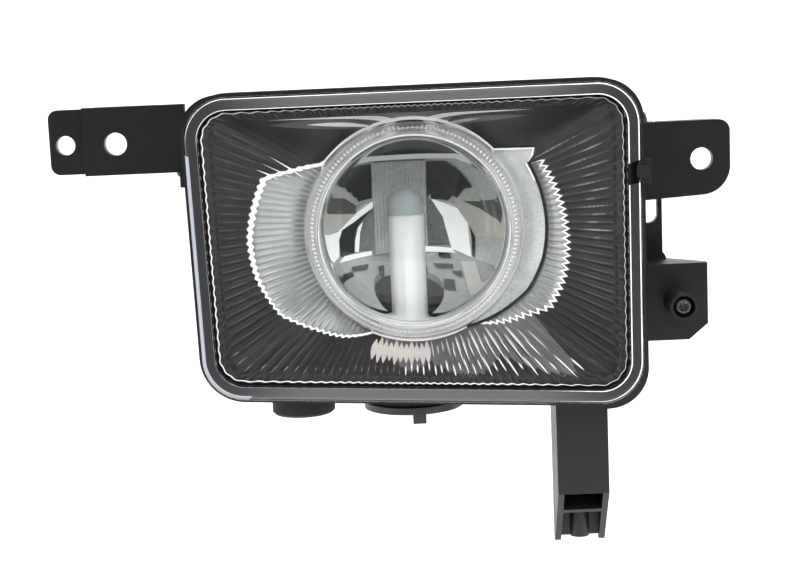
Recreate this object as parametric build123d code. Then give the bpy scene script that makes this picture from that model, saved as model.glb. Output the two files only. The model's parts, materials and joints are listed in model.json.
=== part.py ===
from build123d import *
import os
from math import cos, pi, radians, sin

# Fog lamp on its own carrier.  Millimetres; +X to the right as the lamp is seen from the
# front, +Y to the rear, +Z up.  The pieces are drawn from the lamp's centre line, where it
# meets the front of the lens, and save() shifts them so that the row's origin is the
# middle of the left fixing hole, which is where the car holds the lamp.

# ---- lens outline, seen from the front ----
RIM_TOP_WIDTH = 136.8       # lens, along its level top edge
RIM_RIGHT_HEIGHT = 98.8     # lens, along its right edge
RIM_LEFT_HEIGHT = 91.4      # lens, along its left edge, so that the bottom edge slopes
RIM_LEFT_LEAN = 2.1         # how far the left edge leans inwards at the bottom
RIM_RIGHT_LEAN = 0.6        # how far the right edge leans inwards at the bottom
RIM_RADIUS = 13.0           # lens corners
CENTRE_FROM_LEFT = 67.9     # lamp centre line, from the lens's top left corner
CENTRE_FROM_TOP = 41.6      # lamp centre line, below the lens's top edge

# ---- lens and its seat ----
LENS_WALL = 2.6             # clear face
BEAD_WIDTH = 4.3            # raised border of the face
BEAD_RISE = 0.8             # face lies this far behind the border
SKIRT_WALL = 2.4
SKIRT_DEPTH = 10.4          # lens front to the end of its skirt
SEAL_THICK = 1.2
LENS_FIT = 0.10             # lens skirt in its groove, each side
FLANGE_WALL = 1.1           # housing lip outside the skirt
LIP_FRONT = 4.0             # depth of the outer lip's front edge
INNER_LIP_FRONT = 6.0       # depth of the inner lip's front edge
INNER_LIP_WALL = 1.5
FLANGE_BACK = 13.0          # depth of the back of the flange

# ---- housing behind the flange ----
HOUSING_WALL = 2.4
BODY_INSET = 3.2            # body inside the lens outline, just behind the flange
WAIST_DEPTH = 32.0          # body narrows to this depth
SHOULDER_DEPTH = 58.0
HOUSING_DEPTH = 72.0        # lens front to the back of the housing
SHOULDER_OUT = 3.0          # body at the shoulder, half its width and height beyond the bowl's mouth
BACK_HALF = 22.0            # the same at its back wall
BODY_GAP = 0.3              # housing cavity around the reflector flange

# ---- reflector, inner lens and ring ----
BOWL_CENTRE_X = 0.3
BOWL_CENTRE_Z = -2.5
BOWL_RADIUS = 31.0          # mouth of the bowl
BOWL_WALL = 2.0
BOWL_DEPTH = 37.0           # mouth to the deepest point
BOWL_FLANGE_WIDTH = 4.8     # screw flange beyond the bowl's mouth
FLANGE_PLATE = 2.0          # thickness of that flange and of the bezel's back plate
PLATE_FRONT = 25.0          # depth of the front of the bezel's back plate
BEZEL_WALL = 1.6
BEZEL_EDGE = 2.9            # bezel edge inside the lens outline
BEZEL_EDGE_WIDTH = 3.4
BEZEL_EDGE_THICK = 1.2
RING_WIDTH = 5.7            # bright ring round the inner lens
RING_GAP = 0.3              # ring's bore outside the inner lens's crown
RING_DEPTH = 7.5
INNER_LENS_IN = 2.0         # crown inside the bowl's mouth
INNER_LENS_WALL = 2.6
INNER_LENS_CROWN = 7.0
INNER_LENS_FLANGE = 2.4     # flange thickness
INNER_LENS_SEAT = 1.6       # flange beyond the bowl's mouth
SCREW_R = 1.25              # reflector screws
SCREW_HEAD_R = 2.5
SCREW_HEAD_H = 1.8
SCREW_BITE = 1.4            # how far a reflector screw goes into the bezel plate
SCREW_COUNT = 4
SCREW_OUT = 2.2             # screw axes outside the bowl's mouth
SMALL_FIT = 0.05            # radial running clearance of pins and screws

# ---- bulb ----
BULB_X = -2.0
BULB_DEPTH = 42.0           # bulb axis behind the lens front
NECK_DROP = 5.8             # neck end below the lens's bottom edge at the bulb
NECK_BORE = 12.2
NECK_WALL = 3.6
BASE_RADIUS = 11.0          # base spigot
LUG_REACH = 2.8             # bayonet lugs beyond the spigot
LUG_ANGLE = 30.0
LUG_COUNT = 3
LUG_THICK = 2.5
LUG_PLAY = 0.5              # lug in its groove, above and below
LUG_LEVEL = 3.0             # groove floor above the neck's end
LUG_SIDE_PLAY = 0.35        # lug tip in the groove
TWIST = 45.0                # turn that frees the bayonet, degrees
FLANGE_RADIUS = 16.4        # base flange
BASE_FLANGE = 2.2
BULB_SEAL = 1.6             # seal under the neck
SEAL_GAP = 0.1
SPIGOT_HEIGHT = 11.6        # spigot above the neck's end
COLLAR_R = 7.6
COLLAR_H = 15.0
COLLAR_FLOOR = 3.0
GLASS_R = 5.9
GLASS_WALL = 0.9
GLASS_TOP = 9.0             # top of the bulb, from the lamp's centre line
COLLAR_FIT = 0.1
COAT = 0.25                 # opaque coating on the bulb's tip
COAT_GAP = 0.02
COAT_HEIGHT = 8.0
FILAMENT_R = 0.7
FILAMENT_LENGTH = 5.0
WIRE = 0.8                  # support wires
FLOOR_HOLE = 11.5           # hole for the bulb in the reflector
FIN_WIDTH = 4.3             # grip fin under the base
FIN_HEIGHT = 3.0
FIN_LENGTH = 21.0
FIN_SHIFT = 1.6             # fin, to the right of the bulb axis
LINK_INSET = 2.0            # bridge to the shroud, narrower than it at each side
LINK_FRONT = 7.0            # bridge's front, behind the bulb axis
PLUG_WIDTH = 20.0           # connector shroud
PLUG_HEIGHT = 11.5
PLUG_FRONT = 17.0           # shroud's front, behind the bulb axis
PLUG_LENGTH = 20.0
PLUG_WALL = 1.8
PLUG_CAVITY = 15.0          # depth of the connector socket
PLUG_DROP = 6.6             # shroud's bottom below the top of the base flange
BLADE_WIDTH = 2.8
BLADE_THICK = 0.8
BLADE_LENGTH = 9.0
BLADE_SPACING = 6.6
BLADE_ROOT = 2.5            # blade inside the socket's floor

# ---- vent ----
VENT_X = -38.0
VENT_DEPTH = 32.0
VENT_DROP = 9.0             # spigot end below the lens's bottom left corner
VENT_R = 7.0
VENT_BORE = 4.6
VENT_RIB = 2.4              # rib in front of the spigot
VENT_RIB_FRONT = 14.0
CAP_R = 10.2
CAP_FLOOR = 2.8
CAP_HEIGHT = 10.5
CAP_SLOTS = 4
CAP_SLOT = 2.0
MEMBRANE = 0.6

# ---- carrier ----
CARRIER_FRONT = 20.0        # depth of the front of the arms, frame, box and leg
CARRIER_DEPTH = 17.0        # frame and leg, front to back
FRAME_RADIUS = 13.0         # frame's outer corners
PLATE = 3.0                 # arms
CHEEK = 2.6                 # side cheeks
CHEEK_GAP = 0.3             # cheek beside the housing lip
STRAP = 2.6                 # top strap
STRAP_GAP = 1.2             # top strap above the housing body
LEFT_CHEEK_LOW = 14.0
ARM_RIB = 2.0
ARM_RIB_DEPTH = 8.0

# left arm
LEFT_ARM_TOP = 39.9
LEFT_ARM_LOW = 18.8
LEFT_HOLE_OUT = 21.9        # fixing hole, outside the cheek's inner face
LEFT_HOLE_Z = 28.4
FIXING_R = 3.55
JOGGLE_OUT = 10.0           # joggle, outside the fixing hole
JOGGLE_BACK = 5.0
LOCATING_OUT = 16.6         # locating hole, outside the fixing hole
LOCATING_R = 3.05
TAB_END = 5.0               # tab beyond the locating hole
TAB_RADIUS = 3.0
TAB_CUT = 1.2               # tab is this much lower at top and bottom than the arm

# right arm
RIGHT_ARM_TOP = 28.0
RIGHT_ARM_LOW = 3.6
RIGHT_ARM_RISE = 1.6        # lower edge rises by this at its end
RIGHT_HOLE_OUT = 20.3       # fixing hole, outside the cheek's inner face
RIGHT_HOLE_Z = 16.0
RIGHT_ARM_END = 8.9         # arm beyond its hole
RIGHT_TOP_RADIUS = 3.5
RIGHT_LOW_RADIUS = 9.0

# side web between the right arm and the adjuster box
WEB_OUT = 9.9               # web's outer edge, outside the cheek's inner face
WEB_STRIP = 1.5
WEB_DEPTH = 33.0
WEB_THICK = 2.5
WEB_SILL = -4.8             # bottom of the slot
WEB_BOSS_R = 4.15
WEB_BOSS_IN = 2.9           # boss centre, inside the web's outer edge

# adjuster box
BOX_OUT = 21.6              # outer edge, outside the cheek's inner face
BOX_TOP = -16.6
BOX_LOW = -41.0
BOX_WALL = 2.6
BOX_CHAMFER_X = 6.0
BOX_CHAMFER_Z = 5.0
GUSSET_BACK = 40.0
GUSSET_OUT_BACK = 23.0
COLLAR_FRONT = 6.5
SLEEVE_R = 4.1
SLEEVE_BORE = 3.4

# adjuster screw and nut
AIM_OUT = 11.6              # screw axis, outside the cheek's inner face
AIM_Z = -28.4
AIM_HEAD_R = 2.4
AIM_HEAD_FRONT = 7.3
AIM_HEX = 3.0               # across the flats
AIM_HEX_DEPTH = 3.0
AIM_FLANGE_R = 4.2
AIM_FLANGE = 1.5
AIM_GAP = 0.1
AIM_THREAD_R = 2.5
AIM_END = 43.0
AIM_PITCH = 2.0             # thread, mm per turn
CLIP_GROOVE_R = 2.0
CLIP_R = 3.3
CLIP_THICK = 1.2
NUT_R = 5.6
NUT_FLANGE = 2.2
NUT_WAIST_R = 3.6
FORK_THICK = 4.0
FORK_PLAY = 0.45            # fork between the nut's flanges, each side
FORK_SIDE = 0.5             # fork slot beside the nut's waist
FORK_FRONT = 31.5
FORK_HALF = 7.2
FORK_UP = 5.6
FORK_DOWN = 7.4
LUG_BAR = 8.0
WINDOW_FRONT = 26.0         # cheek window round the lug bar
WINDOW_HALF = 8.6

# pivots
PIVOT_DEPTH = 28.0
PIVOT_Z = 24.0
PIVOT_BOSS_R = 6.0
PIVOT_GAP = 0.4
EAR_R = 7.0
EAR_THICK = 4.0
BUSH_R = 4.0
SHOULDER_R = 2.5
PIVOT_SHANK_R = 2.0
PIVOT_SHANK = 12.0
PIVOT_HEAD_R = 4.2
PIVOT_HEAD = 2.4
SOCKET_R = 1.6
SOCKET_DEPTH = 1.4

# leg
LEG_INNER_X = 25.3          # leg's left face, inside the lens's lower right corner
LEG_WIDTH = 16.5
LEG_WALL = 2.0
LEG_FRONT_LENGTH = 27.6     # front wall, below the foot
LEG_LENGTH = 47.3           # to the tips
LEG_REAR_LENGTH = 45.7
LEG_SHELF = 34.2            # shelf below the foot
LEG_SHELF_THICK = 1.2
LEG_BOSS_R = 3.2
FOOT_DROP = 2.2             # top of the foot plate below the lens's lower right corner
FOOT = 3.0

# latch on the housing's right side
LATCH_Z = 14.1
LATCH_HEIGHT = 7.1
LATCH_OUT = 2.4
TONGUE_HEIGHT = 3.5
TONGUE_IN = 1.5
NOTCH_PLAY = 0.15

# ---- worked out from the above ----
RIM_LEFT = -CENTRE_FROM_LEFT
RIM_RIGHT = RIM_LEFT + RIM_TOP_WIDTH
RIM_TOP = CENTRE_FROM_TOP
RIM_LOW_RIGHT = RIM_TOP - RIM_RIGHT_HEIGHT
RIM_LOW_LEFT = RIM_TOP - RIM_LEFT_HEIGHT
LIP = LENS_FIT + FLANGE_WALL
LEFT_INNER = RIM_LEFT - LIP - CHEEK_GAP
RIGHT_INNER = RIM_RIGHT + LIP + CHEEK_GAP
LEFT_HOLE_X = LEFT_INNER - LEFT_HOLE_OUT
LOCATING_X = LEFT_HOLE_X - LOCATING_OUT
RIGHT_HOLE_X = RIGHT_INNER + RIGHT_HOLE_OUT
AIM_X = RIGHT_INNER + AIM_OUT
PLATE_BACK = PLATE_FRONT + FLANGE_PLATE
BOWL_MOUTH = PLATE_BACK
GROOVE_BACK = SKIRT_DEPTH + SEAL_THICK
INNER_LIP = SKIRT_WALL + LENS_FIT + INNER_LIP_WALL
BOWL_FLANGE = BOWL_RADIUS + BOWL_FLANGE_WIDTH
SCREW_CIRCLE = BOWL_RADIUS + SCREW_OUT
INNER_LENS_RADIUS = BOWL_RADIUS - INNER_LENS_IN
INNER_LENS_FLANGE_R = BOWL_RADIUS + INNER_LENS_SEAT
RING_INNER = INNER_LENS_RADIUS + RING_GAP
RING_OUTER = RING_INNER + RING_WIDTH
SHOULDER_HALF = BOWL_RADIUS + SHOULDER_OUT
BODY_HALF = BOWL_FLANGE + BODY_GAP + HOUSING_WALL
BODY_TOP = max(RIM_TOP - BODY_INSET, BOWL_CENTRE_Z + BODY_HALF)
STRAP_LOW = BODY_TOP + STRAP_GAP
STRAP_TOP = STRAP_LOW + STRAP
BODY_SIDE = BODY_HALF + 5.0
NECK_ROOT = BOWL_CENTRE_Z - SHOULDER_HALF + HOUSING_WALL
VENT_ROOT = BOWL_CENTRE_Z - SHOULDER_HALF + 2 * HOUSING_WALL
ORIGIN = (LEFT_HOLE_X, CARRIER_FRONT + PLATE / 2, LEFT_HOLE_Z)


def lower_edge(x):
    """Height of the lens's sloping lower edge at x."""
    left = RIM_LEFT + RIM_LEFT_LEAN
    right = RIM_RIGHT - RIM_RIGHT_LEAN
    share = (x - left) / (right - left)
    return RIM_LOW_LEFT + share * (RIM_LOW_RIGHT - RIM_LOW_LEFT)


NECK_END = lower_edge(BULB_X) - NECK_DROP
BASE_TOP = NECK_END - SEAL_GAP - BULB_SEAL
BASE_LOW = BASE_TOP - BASE_FLANGE
SPIGOT_TOP = NECK_END + SPIGOT_HEIGHT
COLLAR_TOP = SPIGOT_TOP + COLLAR_H
GLASS_LOW = SPIGOT_TOP + COLLAR_FLOOR
VENT_END = RIM_LOW_LEFT - VENT_DROP
FOOT_TOP = RIM_LOW_RIGHT - FOOT_DROP
FOOT_LOW = FOOT_TOP - FOOT
CARRIER_BACK = CARRIER_FRONT + CARRIER_DEPTH
LEG_LEFT = RIM_RIGHT - RIM_RIGHT_LEAN - LEG_INNER_X


# ---- small helpers ----
def save(node, shape):
    """Shift a piece to the row's origin and write it."""
    x, y, z = ORIGIN
    export_step(Pos(-x, -y, -z) * shape, "parts/" + node + ".step")


def prism(sketch, front, back):
    """A flat outline in X and Z, as thick as from depth front to depth back."""
    return extrude(Plane.XZ.offset(-back) * sketch, amount=back - front)


def block(x0, x1, y0, y1, z0, z1):
    """A box from its six limits."""
    return Pos((x0 + x1) / 2, (y0 + y1) / 2, (z0 + z1) / 2) * Box(x1 - x0, y1 - y0, z1 - z0)


def rod_x(radius, x0, x1, y, z):
    """A cylinder along X."""
    return Pos((x0 + x1) / 2, y, z) * Rot(0, 90, 0) * Cylinder(radius, x1 - x0)


def rod_y(radius, x, z, front, back):
    """A cylinder along Y."""
    return Pos(x, (front + back) / 2, z) * Rot(90, 0, 0) * Cylinder(radius, back - front)


def rod_z(radius, x, y, low, high):
    """A cylinder along Z."""
    return Pos(x, y, (low + high) / 2) * Cylinder(radius, high - low)


def rounded(corners, radius):
    """A polygon with all its corners rounded alike."""
    flat = make_face(Polyline(*corners, close=True))
    return fillet(flat.vertices(), radius)


def rim(inset):
    """The lens outline, moved inwards by inset, or outwards if it is negative."""
    corners = [
        (RIM_LEFT, RIM_TOP),
        (RIM_RIGHT, RIM_TOP),
        (RIM_RIGHT - RIM_RIGHT_LEAN, RIM_LOW_RIGHT),
        (RIM_LEFT + RIM_LEFT_LEAN, RIM_LOW_LEFT),
    ]
    flat = rounded(corners, RIM_RADIUS)
    if inset == 0:
        return flat
    return offset(flat, amount=-inset)


def squircle(half_x, half_z, radius):
    """A rounded rectangle round the reflector's centre."""
    left, right = BOWL_CENTRE_X - half_x, BOWL_CENTRE_X + half_x
    low, high = BOWL_CENTRE_Z - half_z, BOWL_CENTRE_Z + half_z
    return rounded([(left, high), (right, high), (right, low), (left, low)], radius)


def at(depth, sketch):
    """An outline placed at a depth, for lofting."""
    return (Plane.XZ.offset(-depth) * sketch).faces()[0]


def band(outer, inner, front, back):
    """A ring between two outlines."""
    return prism(outer, front, back) - prism(inner, front, back)


def turned(points, x=BOWL_CENTRE_X, z=BOWL_CENTRE_Z):
    """Revolve (radius, depth) points about the line along Y through x and z."""
    flat = make_face(Polyline(*points, close=True))
    return Pos(x, 0, z) * revolve(flat, Axis.Y)


def turned_z(points, x, y):
    """Revolve (radius, height) points about the upright line through x and y."""
    flat = Plane.XZ * make_face(Polyline(*points, close=True))
    return Pos(x, y, 0) * revolve(flat, Axis.Z)


# ---- lamp ----
def front_lens():
    """Clear cover: face, raised border and skirt, notched for the latch tongue."""
    lens = prism(rim(0), 0, BEAD_RISE + LENS_WALL)
    edge = lens.faces().sort_by(Axis.Y)[0].edges()
    lens = fillet(edge, 1.4)
    lens -= prism(rim(BEAD_WIDTH), -1, BEAD_RISE)
    lens += band(rim(0), rim(SKIRT_WALL), BEAD_RISE + LENS_WALL, SKIRT_DEPTH)
    half = TONGUE_HEIGHT / 2 + NOTCH_PLAY
    inner = RIM_RIGHT - TONGUE_IN - NOTCH_PLAY
    return lens - block(inner, RIM_RIGHT + 1, -1, SKIRT_DEPTH + 1, LATCH_Z - half, LATCH_Z + half)


def lens_seal():
    """Sealing bead under the lens skirt."""
    return band(rim(0), rim(SKIRT_WALL), SKIRT_DEPTH, GROOVE_BACK)


def housing_outer():
    """Outside of the housing: flange and tapering body."""
    sections = [
        at(FLANGE_BACK, rim(BODY_INSET)),
        at(WAIST_DEPTH, squircle(BODY_SIDE, BODY_HALF, 22)),
        at(SHOULDER_DEPTH, squircle(SHOULDER_HALF, SHOULDER_HALF, 20)),
        at(HOUSING_DEPTH, squircle(BACK_HALF, BACK_HALF, 14)),
    ]
    return prism(rim(-LIP), LIP_FRONT, FLANGE_BACK) + loft(sections, ruled=True)


def housing_cavity():
    """Inside of the housing."""
    wall = HOUSING_WALL
    sections = [
        at(FLANGE_BACK, rim(BODY_INSET + wall)),
        at(WAIST_DEPTH, squircle(BODY_SIDE - wall, BODY_HALF - wall, 20)),
        at(SHOULDER_DEPTH - 1, squircle(SHOULDER_HALF - wall, SHOULDER_HALF - wall, 18)),
        at(HOUSING_DEPTH - wall, squircle(BACK_HALF - wall, BACK_HALF - wall, 12)),
    ]
    return loft(sections, ruled=True)


def bayonet_room():
    """What the bayonet lugs need inside the neck: a groove and an entry slot for each."""
    reach = BASE_RADIUS + LUG_REACH + LUG_SIDE_PLAY
    low = NECK_END + LUG_LEVEL
    high = low + LUG_THICK + 2 * LUG_PLAY
    room = rod_z(reach, BULB_X, BULB_DEPTH, low, high)
    for index in range(LUG_COUNT):
        turn = -TWIST + index * 360 / LUG_COUNT
        room += sector(reach, LUG_ANGLE + 6, turn, NECK_END - 1, high)
    return room


def sector(radius, angle, turn, low, high):
    """A wedge of a disc round the bulb axis, turned about it."""
    half = radians(angle / 2)
    far = radius * 1.6
    points = [(0, 0), (far * cos(half), -far * sin(half)), (far * cos(half), far * sin(half))]
    wedge = extrude(make_face(Polyline(*points, close=True)), amount=high - low)
    wedge = Pos(0, 0, low) * wedge
    wedge &= rod_z(radius, 0, 0, low, high)
    return Pos(BULB_X, BULB_DEPTH, 0) * Rot(0, 0, turn) * wedge


def housing():
    """Rear shell with its neck, vent spigot, pivot bosses, aiming fork and latch."""
    shell = housing_outer()
    shell += rod_z(NECK_BORE + NECK_WALL, BULB_X, BULB_DEPTH, NECK_END, NECK_ROOT)
    shell += rod_z(VENT_R, VENT_X, VENT_DEPTH, VENT_END, VENT_ROOT)
    rib_left, rib_right = VENT_X - VENT_RIB / 2, VENT_X + VENT_RIB / 2
    shell += block(rib_left, rib_right, VENT_RIB_FRONT, VENT_DEPTH, VENT_END + 4, RIM_LOW_LEFT + 14)
    right_end, left_end = RIGHT_INNER - PIVOT_GAP, LEFT_INNER + PIVOT_GAP
    shell += rod_x(PIVOT_BOSS_R, BOWL_CENTRE_X, right_end, PIVOT_DEPTH, PIVOT_Z)
    shell += rod_x(PIVOT_BOSS_R, left_end, BOWL_CENTRE_X, PIVOT_DEPTH, PIVOT_Z)
    shell += aiming_lug()
    shell += latch()
    shell -= housing_cavity()
    shell -= prism(rim(INNER_LIP), -1, FLANGE_BACK + 0.01)
    shell -= band(rim(-LENS_FIT), rim(SKIRT_WALL + LENS_FIT), -1, GROOVE_BACK)
    shell -= prism(rim(SKIRT_WALL), -1, INNER_LIP_FRONT)
    shell += latch_tongue()
    shell -= rod_z(NECK_BORE, BULB_X, BULB_DEPTH, NECK_END - 1, BOWL_CENTRE_Z)
    shell -= bayonet_room()
    shell -= rod_z(VENT_BORE, VENT_X, VENT_DEPTH, VENT_END - 1, VENT_ROOT + 1)
    bore = PIVOT_SHANK_R + SMALL_FIT
    shell -= rod_x(bore, right_end - PIVOT_SHANK - 0.5, right_end + 1, PIVOT_DEPTH, PIVOT_Z)
    shell -= rod_x(bore, left_end - 1, left_end + PIVOT_SHANK + 0.5, PIVOT_DEPTH, PIVOT_Z)
    return shell


def aiming_lug():
    """Bar through the right cheek's window, ending in the fork that holds the nut."""
    back = FORK_FRONT + FORK_THICK
    low = AIM_Z - FORK_DOWN
    fork = block(AIM_X - FORK_HALF, AIM_X + FORK_HALF, FORK_FRONT, back, low, AIM_Z + FORK_UP)
    slot = NUT_WAIST_R + FORK_SIDE
    fork -= rod_y(slot, AIM_X, AIM_Z, FORK_FRONT - 1, back + 1)
    fork -= block(AIM_X - slot, AIM_X + slot, FORK_FRONT - 1, back + 1, low - 1, AIM_Z)
    half = LUG_BAR / 2
    start = BOWL_CENTRE_X
    bar = block(start, AIM_X - FORK_HALF, FORK_FRONT, back, AIM_Z - half, AIM_Z + half)
    rib = block(start, AIM_X - FORK_HALF, FORK_FRONT, back + 3, AIM_Z - 1, AIM_Z + 1)
    return fork + bar + rib


def latch():
    """Block on the right side of the flange."""
    half = LATCH_HEIGHT / 2
    out = RIM_RIGHT + LIP + LATCH_OUT - 0.4
    return block(RIM_RIGHT - 1, out, LIP_FRONT - 1, FLANGE_BACK, LATCH_Z - half, LATCH_Z + half)


def latch_tongue():
    """Tongue that hooks over the lens edge, in the lens's notch."""
    half = TONGUE_HEIGHT / 2
    low, high = LATCH_Z - half, LATCH_Z + half
    hook = block(RIM_RIGHT - TONGUE_IN, RIM_RIGHT + LIP + 1, 0.6, LIP_FRONT + 1, low, high)
    stem = block(RIM_RIGHT + LENS_FIT, RIM_RIGHT + LIP + 1, 0.6, GROOVE_BACK, low, high)
    return hook + stem


def fluted_bezel():
    """Funnel from the lens edge to the round plate that carries the reflector."""
    edge_front = INNER_LIP_FRONT - BEZEL_EDGE_THICK
    inner = BEZEL_EDGE + BEZEL_EDGE_WIDTH
    outer_mouth = at(INNER_LIP_FRONT, rim(inner - BEZEL_WALL))
    outer_end = at(PLATE_BACK, squircle(BOWL_FLANGE, BOWL_FLANGE, BOWL_FLANGE - 2))
    inner_mouth = at(INNER_LIP_FRONT, rim(inner))
    half = BOWL_FLANGE - BEZEL_WALL
    inner_end = at(PLATE_FRONT, squircle(half, half, half - 2))
    bezel = loft([outer_mouth, outer_end], ruled=True) - loft([inner_mouth, inner_end], ruled=True)
    bezel += band(rim(BEZEL_EDGE), rim(inner), edge_front, INNER_LIP_FRONT)
    bezel -= rod_y(BOWL_RADIUS, BOWL_CENTRE_X, BOWL_CENTRE_Z, PLATE_FRONT - 1, PLATE_BACK + 1)
    for x, z in screw_places():
        bezel -= rod_y(SCREW_R + SMALL_FIT, x, z, PLATE_BACK - SCREW_BITE - 0.1, PLATE_BACK + 1)
    return bezel


def screw_places():
    """Places of the reflector screws, evenly round the bowl."""
    places = []
    for index in range(SCREW_COUNT):
        turn = radians(45 + index * 360 / SCREW_COUNT)
        x = BOWL_CENTRE_X + SCREW_CIRCLE * cos(turn)
        places.append((x, BOWL_CENTRE_Z + SCREW_CIRCLE * sin(turn)))
    return places


def bowl_curve(radius, depth):
    """Points of a bowl's section, a parabola from its mouth to its deepest point."""
    steps = 14
    points = []
    for index in range(steps + 1):
        share = 1 - index / steps
        points.append((radius * share, BOWL_MOUTH + depth * (1 - share ** 2)))
    return points


def reflector_bowl():
    """Bright bowl with its screw flange and the hole for the bulb."""
    outside = bowl_curve(BOWL_RADIUS + BOWL_WALL, BOWL_DEPTH + BOWL_WALL)
    inside = bowl_curve(BOWL_RADIUS, BOWL_DEPTH)
    points = outside + inside[::-1]
    flange_back = BOWL_MOUTH + FLANGE_PLATE
    bowl = turned(points)
    bowl += turned([
        (BOWL_RADIUS + BOWL_WALL / 2, BOWL_MOUTH),
        (BOWL_FLANGE, BOWL_MOUTH),
        (BOWL_FLANGE, flange_back),
        (BOWL_RADIUS + BOWL_WALL / 2, flange_back),
    ])
    bowl -= rod_z(FLOOR_HOLE, BULB_X, BULB_DEPTH, -60, BOWL_CENTRE_Z - 5)
    for x, z in screw_places():
        bowl -= rod_y(SCREW_R + 3 * SMALL_FIT, x, z, BOWL_MOUTH - 1, flange_back + 1)
        bowl -= rod_y(SCREW_HEAD_R + 0.1, x, z, flange_back, flange_back + SCREW_HEAD_H + 1)
    return bowl


def reflector_screws():
    """Screws through the reflector's flange into the bezel plate."""
    back = BOWL_MOUTH + FLANGE_PLATE
    screws = []
    for x, z in screw_places():
        screw = rod_y(SCREW_R, x, z, PLATE_BACK - SCREW_BITE, back)
        screw += rod_y(SCREW_HEAD_R, x, z, back, back + SCREW_HEAD_H)
        screw -= rod_y(0.7, x, z, back + SCREW_HEAD_H - 0.8, back + SCREW_HEAD_H + 1)
        screws.append(screw)
    return Compound(children=screws)


def inner_lens():
    """Round clear inner lens: a crowned face on a flat flange."""
    front = PLATE_FRONT - INNER_LENS_FLANGE
    steps = 10
    outside, inside = [], []
    for index in range(steps + 1):
        share = index / steps
        crown = INNER_LENS_CROWN * (1 - share ** 2)
        outside.append((INNER_LENS_RADIUS * share, front - crown))
        inside.append(((INNER_LENS_RADIUS - 1.5) * share, front - crown + INNER_LENS_WALL))
    points = outside + [(INNER_LENS_FLANGE_R, front), (INNER_LENS_FLANGE_R, PLATE_FRONT)]
    points += [(INNER_LENS_RADIUS - 1.5, PLATE_FRONT)]
    return turned(points + inside[::-1])


def lens_ring():
    """Bright ring that holds the inner lens against the bezel plate."""
    front = PLATE_FRONT - RING_DEPTH
    flange_front = PLATE_FRONT - INNER_LENS_FLANGE - SMALL_FIT
    seat = INNER_LENS_FLANGE_R + LENS_FIT
    return turned([
        (RING_INNER, front + 0.8),
        (RING_INNER + 0.6, front),
        (RING_INNER + 1.8, front),
        (RING_OUTER - 2.2, front + 3.2),
        (RING_OUTER - 1.2, PLATE_FRONT),
        (seat, PLATE_FRONT),
        (seat, flange_front),
        (RING_INNER, flange_front),
    ])


# ---- vent ----
def vent_cap():
    """Rubber cup over the vent spigot, with breathing slots in its skirt."""
    low = VENT_END - CAP_FLOOR
    cap = rod_z(CAP_R, VENT_X, VENT_DEPTH, low, low + CAP_HEIGHT)
    cap = chamfer(cap.edges().filter_by(GeomType.CIRCLE), 0.8)
    cap -= rod_z(VENT_R + SMALL_FIT, VENT_X, VENT_DEPTH, VENT_END, low + CAP_HEIGHT + 1)
    for index in range(CAP_SLOTS):
        turn = 45 + index * 360 / CAP_SLOTS
        slot = Pos(CAP_R, 0, low + CAP_HEIGHT) * Box(2 * CAP_R, CAP_SLOT, 5)
        cap -= Pos(VENT_X, VENT_DEPTH, 0) * Rot(0, 0, turn) * slot
    rib_space = block(VENT_X - 1.5, VENT_X + 1.5, 0, VENT_DEPTH, VENT_END + 3.8, VENT_END + 30)
    return cap - rib_space


def vent_membrane():
    """Breathing disc in the mouth of the vent spigot."""
    return rod_z(VENT_BORE - SMALL_FIT, VENT_X, VENT_DEPTH, VENT_END, VENT_END + MEMBRANE)


# ---- bulb ----
def bulb_base():
    """Plastic base: spigot with bayonet lugs, flange, grip fin and connector shroud."""
    base = rod_z(BASE_RADIUS, BULB_X, BULB_DEPTH, BASE_TOP, SPIGOT_TOP)
    base += rod_z(FLANGE_RADIUS, BULB_X, BULB_DEPTH, BASE_LOW, BASE_TOP)
    lug_low = NECK_END + LUG_LEVEL + LUG_PLAY
    for index in range(LUG_COUNT):
        turn = index * 360 / LUG_COUNT
        reach = BASE_RADIUS + LUG_REACH
        base += sector(reach, LUG_ANGLE, turn, lug_low, lug_low + LUG_THICK)
    fin_front = BULB_DEPTH - FLANGE_RADIUS + 0.4
    half = FIN_WIDTH / 2
    x = BULB_X + FIN_SHIFT
    fin_back, fin_low = fin_front + FIN_LENGTH, BASE_LOW - FIN_HEIGHT
    base += block(x - half, x + half, fin_front, fin_back, fin_low, BASE_LOW + 0.5)
    front = BULB_DEPTH + PLUG_FRONT
    back = front + PLUG_LENGTH
    low = BASE_TOP - PLUG_DROP
    high = low + PLUG_HEIGHT
    half = PLUG_WIDTH / 2
    base += block(BULB_X - half, BULB_X + half, front, back, low, high)
    link = half - LINK_INSET
    link_front = BULB_DEPTH + LINK_FRONT
    base += block(BULB_X - link, BULB_X + link, link_front, front + 1, low + 1, BASE_LOW + 0.5)
    inner = half - PLUG_WALL
    floor = back - PLUG_CAVITY
    base -= block(BULB_X - inner, BULB_X + inner, floor, back + 1, low + PLUG_WALL, high - PLUG_WALL)
    for x in blade_places():
        base -= blade(x, SMALL_FIT)
    return base


def blade_places():
    """Places of the two connector blades."""
    return [BULB_X - BLADE_SPACING / 2, BULB_X + BLADE_SPACING / 2]


def blade(x, spare):
    """A connector blade, or with spare its slot in the shroud's floor."""
    floor = BULB_DEPTH + PLUG_FRONT + PLUG_LENGTH - PLUG_CAVITY
    middle = BASE_TOP - PLUG_DROP + PLUG_HEIGHT / 2
    half_w = BLADE_WIDTH / 2 + spare
    half_t = BLADE_THICK / 2 + spare
    low, high = middle - half_t, middle + half_t
    return block(x - half_w, x + half_w, floor - BLADE_ROOT - spare, floor + BLADE_LENGTH, low, high)


def bulb_terminals():
    """Two connector blades."""
    return Compound(children=[blade(x, 0) for x in blade_places()])


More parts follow.
